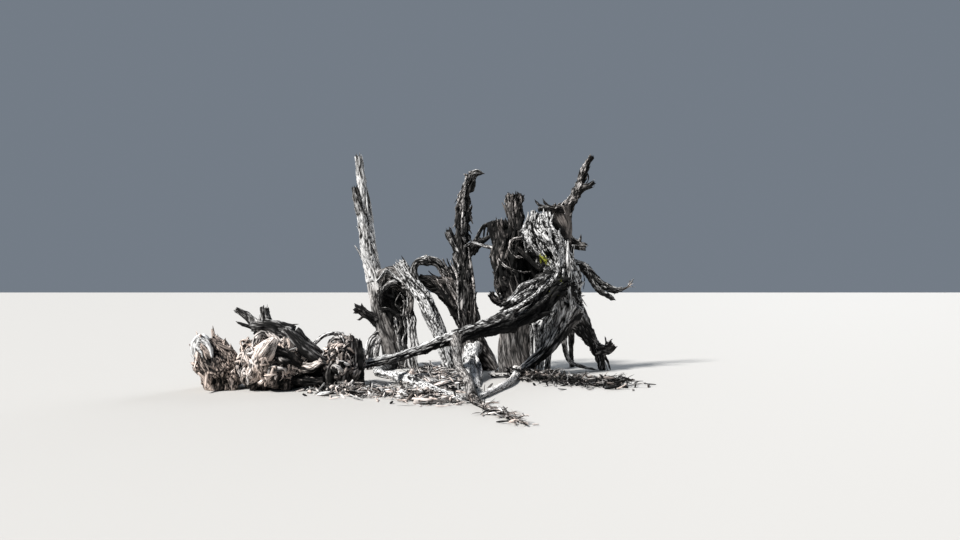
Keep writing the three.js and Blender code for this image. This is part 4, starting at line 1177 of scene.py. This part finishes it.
# Thin splinters and broad torn shards. Their length and thickness are shares of
# the limb's width, within limits in metres, and their lift is a share of their
# length. They start sunk by a share of their thickness and back by one of their
# length.
SLIVERS = dict(length=(0.2, 0.6), lengths=(0.0, 9.0), thick=(0.05, 0.14), thicks=(0.007, 0.03),
               lift=(0.0, 0.25), sunk=0.3, back=0.0, sides=4, steps=5, torn=0.06, seed=0)
SHARDS = dict(length=(0.35, 0.8), lengths=(0.05, 0.3), thick=(0.12, 0.26), thicks=(0.016, 0.075),
              lift=(0.12, 0.4), sunk=0.35, back=0.4, sides=7, steps=6, torn=0.5, seed=1000)
# How many rows ahead of its root a splinter looks for the way of the grain.
ROWS_AHEAD = 6


def add_slivers(parts, points, look, seed, count, kind=SLIVERS):
    """Scatters splinters of one kind over a limb's outer points, along its grain."""
    random = np.random.default_rng(seed + kind["seed"])
    rows, columns = points.shape[:2]
    size = np.linalg.norm(points[rows // 2, 0] - points[rows // 2, columns // 2])
    # How far the grain turns, in columns, over the rows ahead.
    turn = -mean_of(look, "twist") * ROWS_AHEAD * ALONG * look["mesh"]
    drift = int(round(turn / (2 * math.pi) * columns))
    for _ in range(count):
        i = int(random.integers(int(rows * 0.06), int(rows * 0.93)))
        j = int(random.integers(columns))
        root = points[i, j]
        column = (j + drift + random.integers(-2, 3)) % columns
        ahead = points[min(i + ROWS_AHEAD, rows - 1), column] - root
        if np.linalg.norm(ahead) < 1e-6:
            continue
        way = unit(ahead) * random.choice([-1, 1], p=[0.3, 0.7])
        out = unit(root - points[i].mean(0), 1e-9)
        bleach = mean_of(look, "bleach") + random.uniform(-0.25, 0.3)
        shade = (bleach, mean_of(look, "warm"), random.uniform(0, 0.3))
        length = np.clip(size * random.uniform(*kind["length"]), *kind["lengths"])
        thick = np.clip(size * random.uniform(*kind["thick"]), *kind["thicks"])
        lift = random.uniform(*kind["lift"]) * length
        start = root - out * thick * kind["sunk"] - way * length * kind["back"]
        add_sliver(parts, start, way, out, length, thick, lift, shade, sides=kind["sides"],
                   steps=kind["steps"], torn=kind["torn"])


def shader_tree(name):
    """A new material and its empty shader tree."""
    material = bpy.data.materials.new(name)
    material.use_nodes = True
    tree = material.node_tree
    tree.nodes.clear()
    return material, tree


def node(tree, kind, inputs=(), **settings):
    """Adds a shader node, sets its properties and links or sets its inputs."""
    made = tree.nodes.new(kind)
    for key, value in settings.items():
        setattr(made, key, value)
    for key, value in dict(inputs).items():
        if isinstance(value, bpy.types.NodeSocket):
            tree.links.new(value, made.inputs[key])
        else:
            made.inputs[key].default_value = value
    return made


def maths(tree, operation, *values):
    """One operation on sockets and numbers."""
    return node(tree, "ShaderNodeMath", dict(enumerate(values)), operation=operation).outputs[0]


def sum_of(tree, *terms):
    """The sum of socket times number pairs, and of plain numbers."""
    total = None
    for term in terms:
        part = maths(tree, "MULTIPLY", *term) if isinstance(term, tuple) else term
        total = part if total is None else maths(tree, "ADD", total, part)
    return total


def map_range(tree, value, low, high, to_low=0.0, to_high=1.0):
    """A value from low to high, moved to between two others."""
    inputs = {"Value": value, "From Min": low, "From Max": high, "To Min": to_low, "To Max": to_high}
    return node(tree, "ShaderNodeMapRange", inputs).outputs["Result"]


def attribute(tree, name, output="Fac"):
    """What the meshes hold under a name."""
    return node(tree, "ShaderNodeAttribute", attribute_name=name).outputs[output]


def texture_noise(tree, place, scale, detail, roughness=0.5):
    """Noise from 0 to 1 at a place."""
    inputs = {"Vector": place, "Scale": scale, "Detail": detail, "Roughness": roughness}
    return node(tree, "ShaderNodeTexNoise", inputs).outputs["Fac"]


def mix(tree, share, first, second, blend="MIX"):
    """A colour between two, or one times the other."""
    inputs = {0: share, 6: first, 7: second}
    return node(tree, "ShaderNodeMix", inputs, data_type="RGBA", blend_type=blend).outputs[2]


def ramp(tree, socket, stops):
    """The colour that a value has on a row of stops."""
    made = node(tree, "ShaderNodeValToRGB", {"Fac": socket})
    elements = made.color_ramp.elements
    while len(elements) < len(stops):
        elements.new(0.5)
    for element, (place, colour) in zip(elements, stops):
        element.position = place
        element.color = (*colour, 1)
    return made.outputs["Color"]


# Weathered wood from its darkest to its palest, by its tone with its painted light and shade.
GREYS = [
    (0.0, (0.007, 0.007, 0.007)), (0.18, (0.031, 0.030, 0.029)), (0.36, (0.116, 0.113, 0.111)),
    (0.54, (0.298, 0.294, 0.291)), (0.74, (0.570, 0.568, 0.565)), (1.0, (0.858, 0.857, 0.855)),
]
LICHEN_COLOUR = (0.42, 0.44, 0.05, 1)
BUMP_DEPTH = 0.012


def wood(name, warm_tint, roughness):
    """Weathered wood: streaks along the grain, painted shade in its clefts and hair cracks drawn as dark
    lines of painted shade.
    """
    material, tree = shader_tree(name)
    grain = attribute(tree, "grain", "Vector")
    shade = attribute(tree, "shade", "Vector")
    bleach, warm, deep = node(tree, "ShaderNodeSeparateXYZ", {0: shade}).outputs
    place = node(tree, "ShaderNodeTexCoord").outputs["Object"]

    def streaks(round_scale, long_scale, detail):
        """Noise drawn out along the grain."""
        scale = (round_scale, round_scale, long_scale)
        scaled = node(tree, "ShaderNodeMapping", {"Vector": grain, "Scale": scale}).outputs[0]
        return texture_noise(tree, scaled, 1.0, detail, 0.62)

    def open_lines(pattern, level, low, high, darkest):
        """Dark lines where a pattern crosses a level: darkest on the line and 1 beside it. They paint the
        shade of thin cracks.
        """
        beside = maths(tree, "ABSOLUTE", maths(tree, "SUBTRACT", pattern, level))
        return map_range(tree, beside, low, high, darkest, 1.0)

    bands = streaks(16, 1.3, 5)
    lines = streaks(70, 3.5, 4)
    hairs = streaks(210, 9, 3)
    veins = streaks(36, 1.7, 2)
    splits = streaks(13, 1.6, 3)
    patches = texture_noise(tree, place, 2.2, 3.0, 0.6)
    strength = attribute(tree, "streaks")

    # Noise is about a half on average, so half of the weights comes off again.
    layers = [(bands, 1.1), (lines, 0.6), (hairs, 0.12), (patches, 0.6)]
    mottle = sum_of(tree, *layers, -sum(weight for _, weight in layers) / 2)
    streaked = maths(tree, "MULTIPLY", mottle, strength)
    # Deep in a crack the tone is darker: painted shade.
    tone_and_painted_light = sum_of(tree, (bleach, 1.0), (streaked, 1.0), (deep, -0.6))
    colour = ramp(tree, tone_and_painted_light, GREYS)
    warmth = map_range(tree, sum_of(tree, (warm, 1.0), (patches, 0.8), (bands, 0.4), -0.6), 0.1, 0.9)
    tinted = mix(tree, 1.0, colour, (*warm_tint, 1), "MULTIPLY")
    colour = mix(tree, warmth, colour, tinted)

    # Painted shade: dark hair cracks and long cracks, and the clefts, darkest where a point lies deep in a
    # crack.
    hair_cracks = open_lines(veins, 0.5, 0.006, 0.03, 0.22)
    clefts = map_range(tree, deep, 0.2, 0.85, 1.0, 0.03)
    long_cracks = open_lines(splits, 0.47, 0.005, 0.03, 0.15)
    dim = maths(tree, "MULTIPLY", maths(tree, "MULTIPLY", hair_cracks, clefts), long_cracks)

    lichen = attribute(tree, "lichen")
    spots = texture_noise(tree, place, 26.0, 2.0)
    grown = map_range(tree, sum_of(tree, (lichen, 0.5), (spots, 1.0), -0.5), 0.28, 0.36)
    colour = mix(tree, grown, colour, LICHEN_COLOUR)
    shown = node(tree, "ShaderNodeVectorMath", {0: colour, "Scale": dim}, operation="SCALE").outputs[0]

    height = sum_of(tree, (lines, 0.6), (hairs, 0.3), (hair_cracks, 0.5), (bands, 0.5))
    raised = {"Height": height, "Strength": 0.6, "Distance": BUMP_DEPTH}
    bump = node(tree, "ShaderNodeBump", raised).outputs["Normal"]
    rough = map_range(tree, lines, 0.0, 1.0, roughness - 0.08, roughness + 0.08)
    surface = node(tree, "ShaderNodeBsdfPrincipled", {
        "Base Color": shown, "Roughness": rough, "Normal": bump, "Specular IOR Level": 0.25})
    node(tree, "ShaderNodeOutputMaterial", {"Surface": surface.outputs[0]})
    return material


# Each slot's wood: what brown tint its warm places have, and how rough it is.
WOODS = {
    "bleached_wood": wood("bleached wood", (1.05, 0.99, 0.95), 0.82),
    "grey_wood": wood("grey wood", (1.08, 0.98, 0.91), 0.85),
    "dark_wood": wood("dark wood", (1.12, 0.96, 0.88), 0.88),
    "root_wood": wood("root wood", (1.16, 0.95, 0.83), 0.9),
    "twig_wood": wood("twig wood", (1.16, 0.95, 0.84), 0.9),
}


def show(name, parts, slot):
    """Puts the parts in the scene as the piece that replaces the named solid."""
    piece = bpy.data.objects.new(name + "_wood", parts.mesh(name))
    bpy.context.scene.collection.objects.link(piece)
    piece.data.materials.append(WOODS[slot])
    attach(piece, "root")
    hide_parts(name)


# What strands have of their own. Those that end thinner than POINTED, in
# millimetres, run out to a point.
STRAND_LOOK = dict(rough=0.8, plates=0.2, slim=1.0, clefts=1.0, cup=0.02)
POINTED = 50


def add_strands(parts, name, look):
    """Adds the loose strands of wood that run beside a limb."""
    even = {key: mean_of(look, key) for key in ("bleach", "warm", "twist")}
    even["bleach"] += 0.08
    for index, (points, across, *change) in enumerate(STRANDS.get(name, [])):
        thin = {**look, **STRAND_LOOK, **even, **(change[0] if change else {})}
        torn = thin.get("splinter", 0.0)
        add_limb(parts, f"{name}{index}", Line(points, across), thin, point=across[-1] < POINTED and not torn,
                 splinter=torn, flares=True, offset=index + 3.7)


for limb_name, limb in LIMBS.items():
    look = {**BASE_LOOK, **LOOKS.get(limb_name, {})}
    parts = Parts()
    line = LINES[limb_name].from_share(look["starts"])
    teeth = limb.get("splinter", 0) * look["jags"] * MM
    surface = add_limb(parts, limb_name, line, look, point=limb.get("point", False), splinter=teeth,
                       flares="grows" in limb)
    add_slivers(parts, surface, look, seed_of(limb_name), look["slivers"])
    add_slivers(parts, surface, look, seed_of(limb_name), look["shards"], SHARDS)
    add_strands(parts, limb_name, look)
    show(limb_name, parts, look["slot"])

# Clumps of broken root wood, in millimetres. pale is what their roots and
# strands gain in bleach.
LUMPS = {
    "wad_body": dict(
        middle=(-3850, -2080, 330), size=(1030, 1150, 900), swells=5, roots=84, strands=520, pale=0.3),
    "right_wad": dict(
        middle=(-2820, -1950, 340), size=(600, 900, 780), swells=4, roots=50, strands=280, pale=-0.2),
}
# The grain of a clump's surface lies askew, by this matrix.
CLUMP_GRAIN = np.array([[0.9, 0.1, 0.3], [-0.2, 1.0, 0.2], [-0.3, 0.1, 0.5]])


def lump_points(name, lump, ways):
    """Where the clump's surface is along each of the given directions, by the source's rule."""
    seed = seed_of(name)
    turn = np.arctan2(ways[:, 1], ways[:, 0])
    swell = (
        1 + 0.1 * np.sin(lump["swells"] * turn + 3 * ways[:, 2] + seed)
        + 0.08 * np.sin((lump["swells"] + 3) * turn - 5 * ways[:, 2] + 2 * seed)
        + 0.06 * np.sin(9 * ways[:, 2] + 2 * turn + seed)
    )
    return (np.array(lump["middle"]) + ways * swell[:, None] * np.array(lump["size"]) / 2) * MM


def add_lump(parts, name, lump):
    """Adds the clump's body."""
    rows, columns = ((70, 150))
    down = np.linspace(0.02, math.pi - 0.02, rows)[:, None] + np.zeros((1, columns))
    turn = np.linspace(0, 2 * math.pi, columns, endpoint=False)[None] + np.zeros((rows, 1))
    ways = np.stack([np.sin(down) * np.cos(turn), np.sin(down) * np.sin(turn), -np.cos(down)], -1)
    points = lump_points(name, lump, ways.reshape(-1, 3)).reshape(rows, columns, 3)
    seed = seed_of(name)
    wind = noise(points * 2.2, seed + 1)
    grain = points @ CLUMP_GRAIN
    x, y, z = grain[..., 0], grain[..., 1], grain[..., 2]
    coarse = noise_along(x * 9 + wind, y * 9, z * 3 + wind, seed)
    strand = noise_along(x * 26 + 2 * wind, y * 26, z * 6, seed + 2)
    high = 0.075 * np.abs(coarse) ** 0.8 + 0.03 * np.abs(strand) - 0.055
    points = points + ways * high[..., None]
    # deep darkens the grooves between the strands as painted shade; bleach is paler towards the top.
    deep = np.clip(near_zero(coarse, 0.1) + 0.6 * near_zero(strand, 0.1), 0, 1)
    shade = np.stack([0.42 + 0.25 * wind + 0.15 * ways[..., 2], 0.6 + 0 * wind, deep], -1)
    quads, fans = grid_faces(rows, columns)
    flat = with_ends(points, points[0].mean(0), points[-1].mean(0))
    flat[:, 2] = np.maximum(flat[:, 2], 0)
    parts.add(flat, with_ends(grain), with_ends(shade), quads, fans)


def way_out(random, lowest):
    """A random direction out of the clump: few of them point further down than lowest."""
    way = random.normal(size=3)
    way[2] = abs(way[2]) * 0.9 - lowest
    return unit(way)


def add_clump_roots(parts, name, lump, random):
    """Broken roots that wrap the clump, each as thick as an arm or less."""
    middle = np.array(lump["middle"])
    for index in range(lump["roots"] // FEWER):
        way = way_out(random, 0.2)
        side = unit(np.cross(way, random.normal(size=3)))
        reach = random.uniform(0.3, 0.75)
        turns = way + np.outer(np.linspace(-reach, reach, 5), side)
        turns += np.outer(np.sin(np.linspace(0, math.pi, 5)), np.cross(way, side)) * random.uniform(-0.4, 0.4)
        outside = random.uniform(0.86, 1.04) + np.array([-0.04, 0.0, 0.04, 0.02, -0.08])
        path = middle + (lump_points(name, lump, unit_rows(turns)) / MM - middle) * outside[:, None]
        path[:, 2] = np.maximum(path[:, 2], 12)
        thick = random.choice([35, 60, 95, 140], p=[0.35, 0.35, 0.2, 0.1])
        across = thick * np.array([0.6, 1.0, random.uniform(0.8, 1.1), random.uniform(0.5, 0.9), 0.3])
        bleach = random.choice([0.3, 0.7, 1.0, 1.3], p=[0.2, 0.3, 0.3, 0.2]) + lump["pale"]
        look = dict(BASE_LOOK, bleach=bleach, warm=random.uniform(0.2, 0.9), plates=0.8, stretch=3.0,
                    twist=random.uniform(-2, 2))
        line = Line(path, across, face=way, flat=random.uniform(0.5, 1.0), step=1.5 * ALONG)
        add_limb(parts, f"{name}_root{index}", line, look, splinter=0.03, offset=index * 1.7)


def add_tangle(parts, name, lump, random):
    """Strands of torn root wood, wound over the clump's surface."""
    for _ in range(lump["strands"] // FEWER):
        way = way_out(random, 0.25)
        root = lump_points(name, lump, way[None])[0]
        root[2] = max(root[2], 0.03)
        side = unit(np.cross(way, random.normal(size=3) + np.array([0, 0, 0.6])))
        length = random.uniform(0.05, 0.19)
        thick = random.choice([0.018, 0.032, 0.055], p=[0.35, 0.4, 0.25])
        bleach = random.choice([0.1, 0.6, 1.0, 1.35], p=[0.25, 0.25, 0.25, 0.25]) + lump["pale"]
        shade = (bleach, random.uniform(0.1, 0.8), random.uniform(0, 0.3))
        start = root - side * length / 2 + way * random.uniform(-0.03, 0.015)
        bend = way * random.uniform(0.05, 0.3) + np.cross(way, side) * random.uniform(-0.2, 0.2)
        lift = random.uniform(-0.2, 0.1) * length
        add_sliver(parts, start, side, way, length, thick, lift, shade, sides=5, steps=4,
                   bend=bend * length, torn=0.6)


for lump_name, lump in LUMPS.items():
    parts = Parts()
    random = np.random.default_rng(seed_of(lump_name))
    add_lump(parts, lump_name, lump)
    add_clump_roots(parts, lump_name, lump, random)
    add_tangle(parts, lump_name, lump, random)
    add_strands(parts, lump_name, dict(BASE_LOOK, bleach=0.45, warm=0.5))
    show(lump_name, parts, "root_wood")

# Rows of torn splinters where a side of the wood came away.
COMBS = {
    "crown_splinters": dict(
        start=(380, -230, 2960), end=(860, -90, 3030), bar=75, bleach=0.35, shards=16,
        prongs=[
            ([(640, -150, 2985), (500, -170, 3020), (390, -175, 3070), (312, -175, 3160)], [64, 52, 42, 14]),
            ([(560, -190, 2975), (440, -205, 3010), (345, -210, 3068)], [52, 42, 12]),
            ([(660, -140, 2990), (550, -150, 3060), (495, -150, 3115), (462, -150, 3185)], [60, 46, 36, 12]),
            ([(640, -140, 3000), (690, -140, 3060), (700, -140, 3105)], [60, 44, 14]),
            ([(740, -120, 3000), (770, -120, 3070), (830, -110, 3115)], [60, 46, 14]),
            ([(700, -160, 2990), (770, -190, 3040), (790, -200, 3080)], [56, 46, 16]),
            ([(800, -100, 3010), (850, -110, 3080), (855, -110, 3125)], [60, 44, 14]),
        ]),
    "arch_comb": dict(
        start=(-1500, 230, 2020), end=(-1150, 270, 1830), bar=50, bleach=0.5, shards=3,
        prongs=[
            ([(-1090, 180, 1500), (-1200, 170, 1740), (-1320, 160, 1940), (-1388, 160, 2100)],
             [50, 48, 38, 10]),
            ([(-1080, 170, 1560), (-1170, 160, 1800), (-1260, 155, 1970), (-1310, 155, 2105)],
             [50, 46, 36, 10], dict(bleach=0.05)),
            ([(-1070, 165, 1620), (-1140, 155, 1830), (-1205, 150, 1970), (-1248, 150, 2080)],
             [50, 42, 32, 10], dict(bleach=1.0)),
            ([(-1060, 160, 1660), (-1110, 150, 1850), (-1165, 150, 1990), (-1206, 150, 2120)],
             [46, 40, 30, 10], dict(bleach=0.1)),
            ([(-1050, 160, 1690), (-1080, 150, 1870), (-1110, 150, 1990), (-1140, 150, 2095)],
             [46, 38, 28, 10], dict(bleach=0.9)),
            ([(-1110, 180, 1420), (-1250, 160, 1600), (-1370, 150, 1780), (-1430, 140, 1900)],
             [50, 46, 36, 12]),
        ]),
}


def add_comb(parts, name, comb):
    """Adds the bar of torn wood that a row of prongs stands on, and the prongs."""
    look = dict(BASE_LOOK, bleach=comb["bleach"], warm=0.3, rough=1.1, plates=0.8)
    start, end = np.array(comb["start"], float), np.array(comb["end"], float)
    arched = (start + end) / 2 + np.array([0, 0, 8])
    bar = Line([start, arched, end], [comb["bar"], comb["bar"], comb["bar"] * 0.8])
    surface = add_limb(parts, name, bar, look)
    add_slivers(parts, surface, look, seed_of(name), comb["shards"], SHARDS)
    for index, (points, across, *change) in enumerate(comb["prongs"]):
        prong = {**look, "cup": 0.01, **(change[0] if change else {})}
        add_limb(parts, f"{name}{index}", Line(points, across), prong, point=True, offset=index)


for comb_name, comb in COMBS.items():
    parts = Parts()
    add_comb(parts, comb_name, comb)
    show(comb_name, parts, "dark_wood")

# Bare twigs, in millimetres: each spray has one stem that side twigs leave by
# turns. fine counts the finer twigs on each of them, and chips the broken wood
# that lies about as far as heap from the stem.
SPRAYS = {
    "right_limb_twigs": dict(
        stem=[(2003, 290, 1510), (2110, 300, 1560), (2200, 300, 1660)], across=[62, 40, 14], twigs=6,
        reach=210, spread=0.9, seed=3, low=1200, high=1760, fine=5, chips=0, heap=0),
    "root_fan": dict(
        stem=[(-779, -3575, 60), (-560, -4250, 32), (-340, -4750, 24), (-150, -5150, 16)],
        across=[130, 70, 44, 16], twigs=12, reach=520, spread=0.6, seed=8, low=8, high=150, fine=6,
        chips=30, heap=160),
    "brush_pile": dict(
        stem=[(-40, -640, 55), (420, -1250, 50), (950, -1700, 40), (1480, -2000, 30)],
        across=[110, 80, 60, 24],
        twigs=18, reach=600, spread=1.1, seed=12, low=8, high=210, fine=16, chips=560, heap=460, pale=-0.62),
    "root_mat_back": dict(
        stem=[(-1050, 180, 50), (-1500, -400, 40), (-1520, -1300, 32), (-1120, -2350, 20)],
        across=[90, 80, 60, 20], twigs=24, reach=600, spread=1.5, seed=5, low=8, high=190, fine=9,
        chips=700, heap=560),
    "root_mat_front": dict(
        stem=[(-2960, -2200, 60), (-2700, -2560, 36), (-1850, -2930, 30), (-1150, -3560, 18)],
        across=[100, 80, 60, 20], twigs=28, reach=560, spread=1.4, seed=17, low=8, high=130, fine=9,
        chips=600, heap=430),
}

# The main twigs are no thinner than this, in metres, and the finer ones about as thick.
TWIG_THICK = 0.013
# Nothing in a spray starts lower than this, in metres.
LOWEST_START = 0.01


def stream(seed):
    """The source's repeatable numbers from 0 to 1."""
    state = (seed * 7919 + 17) % 233280
    while True:
        state = (state * 9301 + 49297) % 233280
        yield state / 233280


def add_twig(parts, spray, start, way, reach, thick, random):
    """Adds a twig that bends a little and stays between the spray's lowest and highest levels."""
    way = unit(way)
    tip_z = np.clip((start + way * reach)[2], spray["low"] * MM + 0.006, spray["high"] * MM)
    start = np.array([start[0], start[1], max(start[2], LOWEST_START)])
    way[2] = (tip_z - start[2]) / reach
    bleach = random.choice([0.25, 0.5, 0.8, 1.0], p=[0.25, 0.3, 0.3, 0.15]) + 0.5 * spray.get("pale", 0.0)
    shade = (bleach, random.uniform(0.1, 0.7), 0.1)
    up = np.array(UPWARDS, float)
    bend = np.cross(way, up) * random.uniform(-0.16, 0.16) * reach + up * 0.05 * reach
    add_sliver(parts, start, way, up, reach, thick, 0.0, shade, sides=5, steps=7, bend=bend)


def add_twigs(parts, spray, stem, random):
    """Adds the source's side twigs and, along each of them, finer ones."""
    numbers = stream(spray["seed"])
    turn = next(numbers) * 2 * math.pi
    # In the fullest sprays the finer twigs also start beside their side twig.
    scatter = np.array([0.09, 0.09, 0.02]) * (spray["fine"] > 8)
    for index in range(spray["twigs"]):
        t = 0.18 + 0.78 * (index + next(numbers) * 0.5) / spray["twigs"]
        row = int(np.abs(stem.t - t).argmin())
        turn += 2.4
        side = stem.across[row] * math.cos(turn) + stem.through[row] * 0.5 * math.sin(turn)
        way = unit(stem.along[row] + side * spray["spread"])
        root = stem.middle[row]
        length = spray["reach"] * MM * (0.45 + 0.55 * next(numbers)) * (1.1 - 0.5 * t)
        add_twig(parts, spray, root, way, length, max(2 * stem.radius[row] * 0.45, TWIG_THICK), random)
        for _ in range(spray["fine"] // FEWER):
            start = root + way * length * random.uniform(0.0, 0.75) + random.normal(size=3) * scatter
            turned = way + random.normal(size=3) * np.array([0.6, 0.6, 0.22])
            reach = length * random.uniform(0.2, 0.6)
            add_twig(parts, spray, start, turned, reach, TWIG_THICK * random.uniform(0.6, 1.4), random)


def add_chips(parts, spray, stem, random):
    """Broken chips and splinters of the same wood, lying among the twigs."""
    spread = spray["heap"] * MM
    for _ in range(spray["chips"] // FEWER):
        row = int(random.integers(len(stem.middle)))
        off = random.normal(size=2) * spread / 2
        rise = spray["high"] * MM * 0.75 * math.exp(-(off @ off) / spread**2)
        place = stem.middle[row] + np.array([off[0], off[1], 0.0])
        place[2] = random.uniform(LOWEST_START, max(rise, 0.02))
        way = unit(random.normal(size=3) * np.array([1.0, 1.0, 0.3]))
        out = unit(np.cross(way, random.normal(size=3)))
        length = random.uniform(0.05, 0.28)
        thick = random.choice([0.012, 0.022, 0.036, 0.06], p=[0.32, 0.32, 0.22, 0.14])
        bleach = random.choice([-0.2, 0.4, 0.85, 1.25], p=[0.27, 0.18, 0.2, 0.35]) + spray.get("pale", 0.0)
        shade = (bleach, random.uniform(0.0, 0.7), random.uniform(0.0, 0.2))
        lift = random.uniform(-0.1, 0.1) * length
        add_sliver(parts, place - way * length / 2, way, out, length, thick, lift, shade, sides=6, steps=4,
                   torn=random.uniform(0.3, 0.9))


for spray_name, spray in SPRAYS.items():
    parts = Parts()
    random = np.random.default_rng(spray["seed"])
    stem = Line(spray["stem"], spray["across"], face=UPWARDS)
    add_limb(parts, spray_name, stem, dict(BASE_LOOK, bleach=0.5, warm=0.4, rough=0.7), point=True)
    add_twigs(parts, spray, stem, random)
    add_chips(parts, spray, stem, random)
    show(spray_name, parts, "twig_wood")

# The floor, which lies a little below the tree's feet.
FLOOR_HALF = 400.0
FLOOR_LEVEL = -0.002
FLOOR_CORNERS = ((-1, -1), (1, -1), (1, 1), (-1, 1))


def plain_material(name, colour):
    """A rough material of one colour."""
    material, tree = shader_tree(name)
    surface = node(tree, "ShaderNodeBsdfPrincipled", {"Base Color": (*colour, 1), "Roughness": 0.9})
    node(tree, "ShaderNodeOutputMaterial", {"Surface": surface.outputs[0]})
    return material


floor_mesh = bpy.data.meshes.new("floor")
floor_points = [(x * FLOOR_HALF, y * FLOOR_HALF, FLOOR_LEVEL) for x, y in FLOOR_CORNERS]
floor_mesh.from_pydata(floor_points, [], [(0, 1, 2, 3)])
floor_mesh.materials.append(plain_material("pale floor", (0.46, 0.45, 0.435)))
floor = bpy.data.objects.new("floor", floor_mesh)
bpy.context.scene.collection.objects.link(floor)

world = bpy.data.worlds.new("studio")
world.use_nodes = True
sky = world.node_tree.nodes["Background"].inputs
sky["Color"].default_value = (0.72, 0.84, 1.0, 1)
sky["Strength"].default_value = 0.24
bpy.context.scene.world = world
bpy.context.scene.view_settings.view_transform = "Standard"


def add_sun(name, way, energy, angle, colour):
    """Adds a sun that shines along way."""
    data = bpy.data.lights.new(name, "SUN")
    data.energy = energy
    data.angle = angle
    data.color = colour
    sun = bpy.data.objects.new(name, data)
    sun.rotation_mode = "QUATERNION"
    sun.rotation_quaternion = Vector(way).to_track_quat("-Z", "Y")
    bpy.context.scene.collection.objects.link(sun)


add_sun("sun", (0.53, 0.40, -0.75), 6.2, 0.14, (1.0, 0.98, 0.95))
# A weak light from behind, so that the back is seen too.
add_sun("fill", (-0.45, -0.80, -0.40), 1.5, 0.6, (0.90, 0.95, 1.0))
